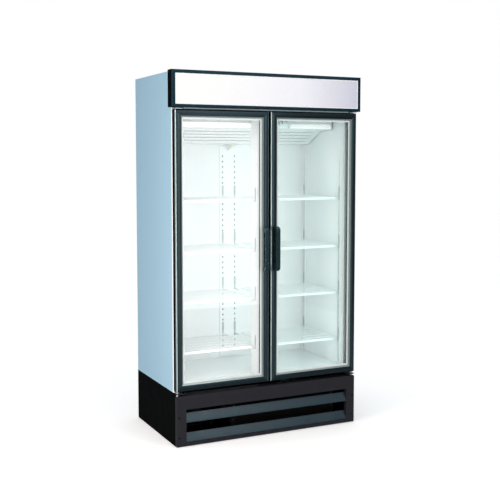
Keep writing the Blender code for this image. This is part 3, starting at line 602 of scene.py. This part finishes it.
def evaporator_cover():
    """The folded cover under the coil, with rows of air slots in its slope, and the housing of the controls."""
    front = FRONT_Y + 0.137
    line = [(front + SHEET / 2, COVER_HIGH.z), (front + SHEET / 2, 1.712), (FRONT_Y + 0.260, 1.7055),
            (FRONT_Y + 0.419, 1.6305), (BACK_Y - 0.001, 1.6255)]
    shape = bmesh.new()
    for number, ((y0, z0), (y1, z1)) in enumerate(zip(line, line[1:])):
        way = Vector((0, y1 - y0, z1 - z0))
        length = way.length
        way.normalize()
        out = Vector((1, 0, 0)).cross(way)
        turn = Matrix((Vector((1, 0, 0)), way, out)).transposed().to_4x4()
        openings = []
        if number == 2:
            for share in (0.14, 0.36, 0.58, 0.80):
                for column in range(22):
                    x = -0.4445 + column * 0.0423
                    openings.append(rectangle(x - 0.017, length * share - 0.0045, x + 0.017,
                                              length * share + 0.0045))
        edge = rectangle(COVER_LOW.x, -0.0004, COVER_HIGH.x, length + 0.0004)
        add_plate(shape, [edge, *openings], turn, (0, y0, z0), SHEET)
    baffle = bmesh.new()
    add_prism(baffle, [(FRONT_Y + 0.262, 1.7140), (FRONT_Y + 0.419, 1.6395), (FRONT_Y + 0.419, 1.6387),
                       (FRONT_Y + 0.262, 1.7132)], "X", COVER_LOW.x + 0.01, COVER_HIGH.x - 0.01)
    publish("air_baffle", baffle, [WHITE_PAINT], "cabinet")
    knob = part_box("thermostat_knob")
    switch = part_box("light_switch")
    face = FRONT_Y + 0.118
    edge = rectangle(0.145, 1.7255, 0.206, 1.7625)
    middle = (switch[0] + switch[1]) / 2
    pocket = rectangle(middle.x - 0.009, middle.z - 0.0072, middle.x + 0.009, middle.z + 0.0072)
    add_plate(shape, [edge, pocket], FACING_Y, (0, face + 0.001, 0), 0.002)
    for low, high in (((0.145, face + 0.002, 1.7255), (0.147, front, 1.7625)),
                      ((0.204, face + 0.002, 1.7255), (0.206, front, 1.7625)),
                      ((0.147, face + 0.002, 1.7255), (0.204, front, 1.7275)),
                      ((0.147, face + 0.002, 1.7605), (0.204, front, 1.7625))):
        add_box(shape, low, high)
    for x in (COVER_LOW.x + 0.02, -0.25, 0.0, 0.30, COVER_HIGH.x - 0.02):
        add_screw(shape, (x, front, 1.772), (0, -1, 0), 0.0040, 1, 2)
    publish("slotted_evaporator_cover", shape, [WHITE_PAINT, ZINC, DARK_MARK], "cabinet",
            ["evaporator_cover"])
    marks = bmesh.new()
    centre = (knob[0] + knob[1]) / 2
    for step in range(8):
        angle = math.radians(-135 + step * 270 / 7)
        start, end = 0.0112, 0.0132 if step % 7 else 0.0145
        way = Vector((math.sin(angle), 0, math.cos(angle)))
        place = Vector((centre.x, face - 0.0001, centre.z))
        add_rod(marks, place + way * start, place + way * end, 0.0003, 6)
    publish("thermostat_scale", marks, [DARK_MARK], "cabinet")


def controls():
    """The thermostat knob, with a grip across it, and the rocker of the light switch."""
    low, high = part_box("thermostat_knob")
    x, z = (low.x + high.x) / 2, KNOB_Z
    shape = bmesh.new()
    rear = high.y
    add_rod(shape, (x, rear, z), (x, rear - 0.003, z), 0.0089, 40)
    ribs = 20
    outline = [(x + (0.0078 + 0.0004 * (step % 2)) * math.cos(math.pi * step / ribs),
                z + (0.0078 + 0.0004 * (step % 2)) * math.sin(math.pi * step / ribs)) for step in range(2 * ribs)]
    add_prism(shape, outline, "Y", rear - 0.009, rear - 0.0029)
    add_prism(shape, arc((x, z), 0.0075, 58, 122) + arc((x, z), 0.0075, 238, 302), "Y", low.y + 0.0004,
              rear - 0.0088)
    add_box(shape, (x - 0.0004, low.y, z + 0.002), (x + 0.0004, low.y + 0.0006, z + 0.0072), 1)
    publish("ribbed_thermostat_knob", shape, [CONTROL, DARK_MARK], "thermostat_knob",
            ["thermostat_knob"], 0.0002)
    dress("light_switch", CONTROL, 0.0004)


def interior_light():
    """A long diffuser with a rounded front, in two lengths with end caps, and a bare strip behind the controls."""
    low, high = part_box("interior_light")
    shape = bmesh.new()
    outline = [(high.y, low.z + 0.001), (high.y, high.z - 0.001)]
    outline += arc((low.y + 0.006, high.z - 0.007), 0.006, 90, 180, 5)
    outline += arc((low.y + 0.006, low.z + 0.007), 0.006, 180, 270, 5)
    cap = 0.008
    for x0, x1 in ((low.x, 0.1440), (0.2070, high.x)):
        add_prism(shape, outline, "X", x0 + cap, x1 - cap)
        for start in (x0, x1 - cap):
            add_prism(shape, outline, "X", start, start + cap - GAP, 1)
    publish("light_diffusers", shape, [LAMP, CONTROL], "cabinet", ["interior_light"])


def drain():
    """The drain tube from the coil's tray, slanting down to the back wall."""
    y0, y1 = FRONT_Y + 0.446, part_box("centre_rear_channel")[0].y - 0.0075
    points = [(0.007, y0, 1.6340), (0.006, y0 + 0.006, 1.6270), (0.000, y1 - 0.016, 1.6060), (-0.004, y1, 1.5930)]
    shape = bmesh.new()
    add_curve(shape, [smooth_line(points)], 0.0068, 16)
    publish("drain_tube", shape, [DRAIN_PVC], "cabinet", smooth=60)


# ---------------------------------------------------------------- cooling unit

def add_coil(shape, low, high, pitch, rows, tube):
    """Thin upright fins on tubes that run through them, with hairpin bends at the ends."""
    count = int((high.x - low.x - 0.05) / pitch)
    start = low.x + 0.025
    for number in range(count):
        x = start + number * pitch
        add_box(shape, (x, low.y + 0.002, low.z + 0.003), (x + 0.0004, high.y - 0.002, high.z - 0.003))
    for x in (low.x + 0.014, high.x - 0.016):
        add_box(shape, (x, low.y, low.z), (x + 0.002, high.y, high.z), 2)
    lines = []
    layers = max(2, int((high.z - low.z - 0.03) / 0.032))
    for row in range(rows):
        y = low.y + (high.y - low.y) * (row + 0.5) / rows
        heights = [low.z + 0.02 + (high.z - low.z - 0.04) * layer / (layers - 1) for layer in range(layers)]
        points = []
        for layer, z in enumerate(heights):
            ends = (low.x + 0.012, high.x - 0.012)
            a, b = ends if layer % 2 == 0 else ends[::-1]
            points += [(a, y, z), (b, y, z)]
            if layer < layers - 1:
                rise = heights[layer + 1] - z
                way = 0.009 if b > a else -0.009
                points += [(b + way * math.sin(math.pi * step / 4), y, z + rise * step / 4) for step in (1, 2, 3)]
        lines.append(points)
    add_curve(shape, lines, tube, 8, material=1)


def add_lathed(shape, centre, profile, steps=32, material=0):
    """A ring turned about Y. A profile point is (radius, distance in front of the centre)."""
    before = len(shape.faces)
    x, y, z = centre
    rings = []
    for step in range(steps):
        angle = 2 * math.pi * step / steps
        rings.append([shape.verts.new((x + r * math.cos(angle), y - w, z + r * math.sin(angle))) for r, w in profile])
    for step in range(steps):
        a, b = rings[step], rings[(step + 1) % steps]
        for side in range(len(profile)):
            after = (side + 1) % len(profile)
            shape.faces.new((a[side], a[after], b[after], b[side]))
    paint_new(shape, before, material)


def add_sheet(shape, grid, thickness):
    """A thin curved sheet through a grid of points, thickened along Y."""
    rows, columns = len(grid), len(grid[0])
    sides = [[[shape.verts.new((x, y + shift, z)) for x, y, z in row] for row in grid]
             for shift in (-thickness / 2, thickness / 2)]
    for side in sides:
        for i in range(rows - 1):
            for j in range(columns - 1):
                shape.faces.new((side[i][j], side[i + 1][j], side[i + 1][j + 1], side[i][j + 1]))
    rim = [(i, 0) for i in range(rows)] + [(rows - 1, j) for j in range(1, columns)]
    rim += [(i, columns - 1) for i in range(rows - 2, -1, -1)] + [(0, j) for j in range(columns - 2, 0, -1)]
    for (i, j), (k, m) in zip(rim, rim[1:] + rim[:1]):
        shape.faces.new((sides[0][i][j], sides[0][k][m], sides[1][k][m], sides[1][i][j]))


def add_fan(shape, centre, radius, blades):
    """Curved blades on a hub, turning about Y."""
    x, y, z = centre
    add_lathed(shape, centre, [(0.0035, 0.012), (0.016, 0.012), (0.022, 0.008), (0.022, -0.009), (0.0035, -0.009)])
    for blade in range(blades):
        turn = 2 * math.pi * blade / blades
        grid = []
        for i in range(9):
            reach = i / 8
            r = 0.019 + (radius - 0.0195) * reach
            row = []
            for j in range(7):
                share = j / 6 - 0.5
                angle = turn + math.radians(18 * reach ** 2 + (56 - 10 * reach) * share)
                depth = 0.022 * share + 0.004 * (1 - 4 * share * share)
                row.append((x + r * math.cos(angle), y + depth, z + r * math.sin(angle)))
            grid.append(row)
        add_sheet(shape, grid, 0.001)


def fans():
    """Both fans, their motors and their wire guards."""
    for name, radius, centre in (("condenser_fan", 0.098, Vector((0.130, FRONT_Y + 0.118, 0.145))),
                                 ("evaporator_fan", 0.084, Vector((0.0, FRONT_Y + 0.215, 1.835)))):
        shape = bmesh.new()
        add_fan(shape, centre, radius, 5)
        publish(f"{name}_blades", shape, [ALUMINIUM], name, [name], smooth=50)
        dress(f"{name}_motor", MOTOR, 0.0015)
        guard = bmesh.new()
        y = centre.y - 0.024
        for ring in range(5):
            r = radius * (0.28 + 0.19 * ring)
            points = [(centre.x + u, y, centre.z + v) for u, v in arc((0, 0), r, 0, 350, 35)]
            add_curve(guard, [points], 0.0011, 8, cyclic=True)
        for spoke in range(6):
            angle = math.pi * spoke / 3 + 0.2
            way = Vector((math.cos(angle), 0, math.sin(angle)))
            middle = Vector((centre.x, y + 0.0012, centre.z))
            add_rod(guard, middle + way * radius * 0.26, middle + way * radius * 1.06, 0.0013, 8)
        publish(f"{name}_guard", guard, [ZINC], "cabinet", smooth=60)


def coils():
    for name, pitch, rows, fins, bends in (("condenser_coil", 0.0036, 2, MOTOR, MOTOR),
                                           ("evaporator_coil", 0.0052, 4, ALUMINIUM, COPPER)):
        low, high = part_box(name)
        shape = bmesh.new()
        add_coil(shape, low, high, pitch, rows, 0.0042)
        publish(f"finned_{name}", shape, [fins, bends, fins], "cabinet", [name], smooth=40)


def compressor():
    """Terminal cover, feet and copper lines round the compressor's shell."""
    dress("compressor", MOTOR)
    low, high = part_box("compressor")
    x, y = (low.x + high.x) / 2, (low.y + high.y) / 2
    shape = bmesh.new()
    add_box(shape, (x + 0.060, y - 0.024, low.z + 0.060), (x + 0.092, y + 0.024, low.z + 0.118), 0)
    for sx in (-1, 1):
        for sy in (-1, 1):
            foot = (x + sx * 0.078, y + sy * 0.066)
            add_rod(shape, (*foot, low.z + 0.0003), (*foot, low.z + 0.014), 0.011, 20, 0, 0.008)
            add_rod(shape, (*foot, low.z + 0.014), (*foot, low.z + 0.021), 0.005, 6, 1)
    for sy in (-1, 1):
        add_box(shape, (x - 0.090, y + sy * 0.066 - 0.012, low.z + 0.014),
                (x + 0.090, y + sy * 0.066 + 0.012, low.z + 0.0165), 0)
    publish("compressor_mounts", shape, [MOTOR, ZINC], "cabinet", rounding=0.0012)
    coil_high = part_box("condenser_coil")[1]
    lines = bmesh.new()
    suction = [(x + 0.055, y + 0.030, low.z + 0.165), (x + 0.070, y + 0.034, low.z + 0.200),
               (x + 0.090, y + 0.060, low.z + 0.222), (x + 0.120, y + 0.110, low.z + 0.226),
               (x + 0.135, y + 0.190, low.z + 0.228), (x + 0.135, y + 0.215, low.z + 0.245),
               (x + 0.135, y + 0.220, low.z + 0.280)]
    discharge = [(x + 0.070, y - 0.024, low.z + 0.050), (x + 0.095, y - 0.040, low.z + 0.052),
                 (x + 0.108, y - 0.080, low.z + 0.060), (x + 0.108, y - 0.160, low.z + 0.120),
                 (x + 0.106, coil_high.y + 0.020, low.z + 0.140), (x + 0.112, coil_high.y - 0.012, low.z + 0.150)]
    add_curve(lines, [smooth_line(discharge)], 0.0040, 10)
    add_curve(lines, [smooth_line(suction)], 0.0075, 10, material=1)
    publish("refrigerant_lines", lines, [COPPER, RUBBER], "cabinet", smooth=60)


def smooth_line(points, steps=6):
    """Points along a smooth curve through the given ones."""
    given = [Vector(p) for p in points]
    padded = [given[0] * 2 - given[1], *given, given[-1] * 2 - given[-2]]
    made = []
    for a, b, c, d in zip(padded, padded[1:], padded[2:], padded[3:]):
        for step in range(steps):
            t = step / steps
            made.append(0.5 * (2 * b + (c - a) * t + (2 * a - 5 * b + 4 * c - d) * t * t
                               + (3 * b - a - 3 * c + d) * t ** 3))
    return [tuple(p) for p in (*made, given[-1])]


# ---------------------------------------------------------------- base

def base():
    dress("base_pan", BLACK_COAT)
    dress("control_box", ZINC, 0.0004)
    for side, sign in SIDES:
        dress(f"base_{side}_panel", BLACK_COAT, 0.0004)
    dress("base_rear_grille", GRILLE_BLACK)
    dress("front_grille_frame", GRILLE_BLACK)
    for name in ("upper", "lower"):
        low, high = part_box(f"front_grille_{name}_louvre")
        shape = bmesh.new()
        outline = [(low.y + 0.0118, low.z), (low.y + 0.0118, low.z + 0.0018), (low.y + 0.0040, low.z + 0.0022),
                   (high.y, high.z - 0.0016), (high.y - 0.0006, high.z),
                   *arc((low.y + 0.0028, low.z + 0.0030), 0.0028, 160, 270, 5)]
        add_prism(shape, outline, "X", low.x, high.x)
        publish(f"formed_{name}_louvre", shape, [LOUVRE_GREY], "cabinet",
                [f"front_grille_{name}_louvre"], smooth=30)
    cheeks = bmesh.new()
    for name in ("upper", "lower"):
        low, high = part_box(f"front_grille_{name}_louvre")
        for side, sign in SIDES:
            x = sign * (high.x - 0.0012)
            outline = [(low.y + 0.002, low.z - 0.001), (high.y, high.z - 0.006), (high.y, low.z - 0.018),
                       *arc((high.y, low.z - 0.001), 0.016, 250, 182, 5)]
            add_prism(cheeks, outline, "X", *sorted((x, x - sign * 0.0015)))
    publish("louvre_end_cheeks", cheeks, [GRILLE_BLACK], "cabinet")
    screws = bmesh.new()
    for side, sign in SIDES:
        for z in (0.160, 0.050):
            add_screw(screws, (sign * 0.5400, GRILLE_LOW.y, z), (0, -1, 0), 0.0042, 0, 1)
        for z in (0.05, 0.24):
            for y in (GRILLE_LOW.y + 0.07, REAR_Y - 0.03):
                add_screw(screws, (sign * HALF_WIDTH, y, z), (sign, 0, 0), 0.0040, 0, 1)
        for z in (0.030, 0.262):
            add_screw(screws, (sign * 0.535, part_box("base_rear_grille")[1].y, z), (0, 1, 0), 0.0040, 0, 1)
    publish("base_screws", screws, [BLACK_COAT, DARK_MARK], "cabinet")


# ---------------------------------------------------------------- sign box

def sign_box():
    y0, y1 = HEADER_LOW.y, HEADER_HIGH.y
    round_edge = 0.007
    corner = arc((0, 0), round_edge, 0, 90, 6)
    profile = [(0.0, y1), *[(round_edge - u, y0 + round_edge - v) for u, v in corner],
               (0.0190, y0), (0.0200, y0 + 0.0010), (0.0200, y1)]
    shape = bmesh.new()
    add_bars(shape, (HEADER_LOW.x, HEADER_LOW.z), (HEADER_HIGH.x, HEADER_HIGH.z), profile, 0.00012,
             lambda number, upright: int(number == 0), bottom=0.8, top=0.95)
    publish("mitred_header_frame", shape, [HEADER_BLACK, BLACK_COAT], "cabinet", ["header_frame"], smooth=30)
    sill = bmesh.new()
    half = 0.5045
    add_box(sill, (-half, FRONT_Y - 0.0410, DOOR_HIGH.z + 0.0030), (half, FRONT_Y - GAP, HEADER_LOW.z - GAP))
    publish("header_sill", sill, [SILL_PAINT], "cabinet", rounding=0.0006)
    dress("header_back_pan", WHITE_PAINT)
    dress("sign_panel", SIGN)
    low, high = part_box("sign_panel")
    shape = bmesh.new()
    y = low.y
    profile = [(-0.0002, y - GAP), (-0.0002, y - 0.0022), (0.0030, y - 0.0022), (0.0046, y - 0.0012),
               (0.0046, y - GAP)]
    add_bars(shape, (low.x, low.z), (high.x, high.z), profile, 0.0001)
    publish("sign_retaining_bead", shape, [CONTROL], "cabinet")
    low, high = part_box("sign_lamp")
    middle = (low + high) / 2
    lamp = bmesh.new()
    radius = (high.z - low.z) / 2
    add_rod(lamp, (low.x + 0.024, middle.y, middle.z), (high.x - 0.024, middle.y, middle.z), radius, 24)
    for sign, end in ((-1, low.x), (1, high.x)):
        inner = end - sign * 0.024
        add_rod(lamp, (inner, middle.y, middle.z), (end - sign * 0.006, middle.y, middle.z), radius * 1.02, 24, 1)
        x0, x1 = sorted((end, end - sign * 0.006))
        add_box(lamp, (x0, middle.y - 0.010, middle.z - 0.026), (x1, middle.y + 0.018, middle.z + 0.020), 2)
    publish("sign_tube_and_holders", lamp, [TUBE, ALUMINIUM, CONTROL], "cabinet", ["sign_lamp"])


# ---------------------------------------------------------------- doors

def doors():
    for side, sign in SIDES:
        body = f"{side}_door"
        low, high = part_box(f"{side}_door_frame")
        door_frame(side, sign, body, low, high)
        glazing(side, body, low, high)
        gasket(side, body, low, high)
        handle(side, body)
        hinges(side, sign)


HIGHLIGHT = range(1, 7)     # sides of the door frame's section painted light on the uprights: a painted highlight on their rounded outer corner


def door_frame(side, sign, body, low, high):
    """Mitred bars with a rounded outer edge, a sloped inner edge and a glazing bead behind the panes."""
    y0, y1 = low.y, high.y
    lip = 0.0068
    round_edge = 0.009
    corner = arc((0, 0), round_edge, 0, 90, 8)
    profile = [(0.0, y1), *[(round_edge - u, y0 + round_edge - v) for u, v in corner],
               (0.0220, y0 + 0.0002), (0.0300, y0 + 0.0010), (0.0330, y0 + 0.0022), (STILE, y0 + 0.0062),
               (STILE, y0 + lip), (STILE - POCKET, y0 + lip), (STILE - POCKET, y1),
               (0.0275, y1), (0.0265, y1 - 0.0025), (0.0135, y1 - 0.0025), (0.0125, y1)]
    bevel = profile.index((0.0330, y0 + 0.0022))
    shape = bmesh.new()

    def paint(number, upright):
        # The sloped inner edge takes the painted highlight.
        if number == bevel:
            return 2
        # The outer side of each bar is painted black: painted shade for the deep gap beside the door.
        if number < HIGHLIGHT.start:
            return 4
        # The uprights' outer corners take the painted highlight.
        if upright and number in HIGHLIGHT:
            return 3
        # Uprights take the lighter copy of the finish, rails the darker copy: painted light and shade.
        return int(not upright)

    add_bars(shape, (low.x, low.z), (high.x, high.z), profile, 0.00015, paint)
    bead_front = y0 + 0.0314
    bead = [(0.0283, bead_front), (STILE, bead_front), (STILE, bead_front + 0.0020), (0.0360, y1 - 0.0012),
            (0.0283, y1 - 0.0012)]
    add_bars(shape, (low.x, low.z), (high.x, high.z), bead, 0.0002, lambda number, upright: int(not upright))
    looks = [FRAME_UPRIGHT_LIT, FRAME_LEVEL_SHADED, FRAME_BEVEL_HIGHLIGHT, FRAME_EDGE_HIGHLIGHT, BLACK_COAT]
    piece = publish(f"{side}_mitred_door_frame", shape, looks, body, [f"{side}_door_frame"],
                    smooth=32)
    pin_x = sign * (HALF_WIDTH - PIN_INSET)
    for z in (low.z, high.z):
        bore(piece, (pin_x, PIN_Y, z), 0.0046, 0.044)


def bore(piece, centre, radius, length):
    """A round hole along Z."""
    x, y, z = centre
    shape = bmesh.new()
    add_rod(shape, (x, y, z - length / 2), (x, y, z + length / 2), radius, 20)
    cutter_mesh = as_mesh("cutter", shape)
    cutter = add_object("cutter", cutter_mesh)
    hole = piece.modifiers.new("hole", "BOOLEAN")
    hole.operation = "DIFFERENCE"
    hole.object = cutter
    bpy.context.view_layer.update()
    evaluated = piece.evaluated_get(bpy.context.evaluated_depsgraph_get())
    drilled = bpy.data.meshes.new_from_object(evaluated)
    piece.modifiers.remove(hole)
    piece.data = drilled
    bpy.data.objects.remove(cutter)
    bpy.data.meshes.remove(cutter_mesh)


def glazing(side, body, low, high):
    """Two panes, and the spacer bar that holds them apart."""
    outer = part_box(f"{side}_door_outer_glass")
    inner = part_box(f"{side}_door_inner_glass")
    for name in ("outer", "inner"):
        dress(f"{side}_door_{name}_glass", GLASS)
    y0, y1 = outer[1].y + GAP, inner[0].y - GAP
    width = 0.009
    profile = [(0.0295, y0), (STILE + width, y0), (STILE + width, y1), (0.0295, y1)]
    shape = bmesh.new()
    # The spacer's inner side on the uprights takes the painted shade.
    add_bars(shape, (low.x, low.z), (high.x, high.z), profile, 0.0001,
             lambda number, upright: int(number == 1 and upright))
    publish(f"{side}_door_spacer_bar", shape, [SPACER, SPACER_SIDE_SHADE], body, smooth=30)


def gasket(side, body, low, high):
    """The magnetic door gasket: a ribbed bulb all round the rear of the frame."""
    g_low, g_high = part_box(f"{side}_door_gasket")
    y0, y1 = g_low.y - 0.0020, g_high.y
    inset = g_low.x - low.x
    width = 0.014
    profile = [(inset, y0), (inset, y0 + 0.0012)]
    for number in range(3):
        centre = inset + width * (number + 0.5) / 3
        reach = width / 6
        top = y1 if number == 1 else y1 - 0.0012
        profile += [(centre - reach * math.cos(math.radians(a)) * 0.95,
                     y0 + 0.0020 + (top - y0 - 0.0020) * math.sin(math.radians(a)))
                    for a in (8, 40, 65, 90, 115, 140, 172)]
    profile += [(inset + width, y0 + 0.0012), (inset + width, y0)]
    shape = bmesh.new()
    add_bars(shape, (low.x, low.z), (high.x, high.z), profile)
    publish(f"{side}_ribbed_gasket", shape, [RUBBER], body, [f"{side}_door_gasket"], smooth=50)


def handle(side, body):
    """A D handle with rounded edges."""
    low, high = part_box(f"{side}_door_handle")
    face, front = high.y, low.y
    grip_rear = front + 0.012
    outer, inner, foot, edge = 0.024, 0.012, 0.020, 0.0032
    outline = [(face, low.z + foot)]
    outline += arc((grip_rear + inner, low.z + foot + inner), inner, 270, 180, 10)
    outline += arc((grip_rear + inner, high.z - foot - inner), inner, 180, 90, 10)
    outline += [(face, high.z - foot), (face, high.z)]
    outline += arc((front + outer, high.z - outer), outer, 90, 180, 14)
    outline += arc((front + outer, low.z + outer), outer, 180, 270, 14)
    outline += [(face, low.z)]
    shape = bmesh.new()
    add_prism(shape, outline, "X", low.x, high.x)
    publish(f"{side}_rounded_door_handle", shape, [HANDLE_BLACK], body,
            [f"{side}_door_handle"], edge, 4)


def hinges(side, sign):
    """Bushings between the brackets and the door, and a nut under the bottom bracket."""
    pin_x = sign * (HALF_WIDTH - PIN_INSET)
    dress(f"{side}_top_hinge", ZINC, 0.0006)
    dress(f"{side}_bottom_hinge", GRILLE_BLACK, 0.0006)
    shape = bmesh.new()
    plate_top = 0.2897
    add_rod(shape, (pin_x, PIN_Y, plate_top + 0.0001), (pin_x, PIN_Y, plate_top + 0.0030), 0.0098, 28)
    add_rod(shape, (pin_x, PIN_Y, plate_top + 0.0030), (pin_x, PIN_Y, DOOR_LOW.z - 0.0004), 0.0080, 28)
    add_rod(shape, (pin_x, PIN_Y, 0.2768), (pin_x, PIN_Y, 0.2860), 0.0085, 6)
    publish(f"{side}_hinge_bushing", shape, [ZINC], "cabinet", rounding=0.0008)


# ---------------------------------------------------------------- floor, light and camera

def set_stage():
    """The floor, the backdrop and the lights."""
    shape = bmesh.new()
    bmesh.ops.create_grid(shape, x_segments=1, y_segments=1, size=14)
    floor = add_object("floor", as_mesh("floor", shape))
    floor.location.z = -0.0005
    floor.visible_glossy = False
    floor.data.materials.append(finish("pale_floor", (0.90, 0.90, 0.90), 0.6, 0.01, 1.5, 0.004, 0.00002,
                                       Specular_IOR_Level=0.1, Emission_Color=(1.0, 1.0, 1.0, 1.0),
                                       Emission_Strength=0.27))
    studio()
    sun_light("overhead", (0.10, 0.25, -1.0), 1.9, 110)
    area_light("left_front", (-1.20, -0.95, 1.15), (-0.575, -0.15, 1.15), 0.3, 2.2, 9.0, (1.0, 0.82, 0.70))
    area_light("left_strip", (-4.0, -1.3, 1.2), (-0.5, 0.0, 1.0), 0.16, 2.2, 8)
    area_light("right_front", (2.6, -5.2, 3.4), (0.0, 0.0, 0.6), 2.0, 2.0, 30)
    area_light("front_softbox", (1.5, -4.3, 1.3), (1.5, 0.0, 1.3), 1.2, 2.6, 9)
    dark_card()
    for side, x, z, power, tint in (("left", -0.27, 0.97, 2.75, (1.0, 0.935, 0.945)),
                                    ("right", 0.27, 1.02, 2.45, (0.82, 1.0, 0.985))):
        area_light(f"{side}_bay_wash", (x, FRONT_Y + 0.006, z), (x, BACK_Y, z), 0.44, 1.42, power, tint, 158)
    area_light("cover_wash", (0.0, FRONT_Y + 0.02, 1.775), (0.0, FRONT_Y + 0.14, 1.72), 1.0, 0.03, 0.5)
    bpy.context.scene.view_settings.view_transform = "Standard"


def dark_card():
    """Black cards to the right, seen only in reflections, which darken what faces that way."""
    shape = bmesh.new()
    add_box(shape, (1.8, -4.0, 0.0), (7.0, -3.98, 4.0))
    add_box(shape, (2.4, -3.9, 0.0), (2.42, 1.5, 4.0))
    card = add_object("dark_card", as_mesh("dark_card", shape))
    card.data.materials.append(DARK_MARK)
    card.visible_camera = False
    card.visible_diffuse = False
    card.visible_shadow = False
    card.visible_transmission = False


def studio():
    """A white backdrop, which lights the object with a softer grey."""
    world = bpy.data.worlds.new("studio")
    bpy.context.scene.world = world
    world.use_nodes = True
    tree = world.node_tree
    tree.nodes.clear()
    seen = shader_node(tree, "LightPath").outputs["Is Camera Ray"]
    surroundings = shader_node(tree, "Background", {"Color": (0.94, 0.98, 1.0, 1.0), "Strength": 0.30})
    backdrop = shader_node(tree, "Background", {"Color": (1.0, 1.0, 1.0, 1.0), "Strength": 1.0})
    both = shader_node(tree, "MixShader", {0: seen, 1: surroundings.outputs[0], 2: backdrop.outputs[0]})
    shader_node(tree, "OutputWorld", {"Surface": both.outputs[0]})


def sun_light(name, way, strength, softness):
    """Even light over the whole floor. softness is the width of its source in degrees."""
    data = bpy.data.lights.new(name, "SUN")
    data.energy = strength
    data.angle = math.radians(softness)
    light = add_object(name, data)
    light.rotation_euler = Vector(way).to_track_quat("-Z", "Y").to_euler()


def area_light(name, place, target, width, height, power, tint=(1.0, 1.0, 1.0), spread=180):
    data = bpy.data.lights.new(name, "AREA")
    data.shape = "RECTANGLE"
    data.size, data.size_y = width, height
    data.energy = power
    data.color = tint
    data.spread = math.radians(spread)
    light = add_object(name, data)
    light.location = place
    light.visible_camera = False
    light.rotation_euler = (Vector(target) - Vector(place)).to_track_quat("-Z", "Y").to_euler()


def set_camera():
    data = bpy.data.cameras.new("camera")
    data.lens = 63.95
    data.sensor_width = 36.0
    data.shift_x, data.shift_y = -0.0005, -0.0432
    camera = add_object("camera", data)
    camera.location = (-2.2203, -4.6355, 1.5361)
    camera.rotation_euler = (math.radians(85.546), 0.0, math.radians(-25.827))
    bpy.context.scene.camera = camera


cabinet()
back_and_top()
pilasters()
shelves()
evaporator_cover()
controls()
interior_light()
drain()
coils()
fans()
compressor()
base()
sign_box()
doors()
set_stage()
set_camera()
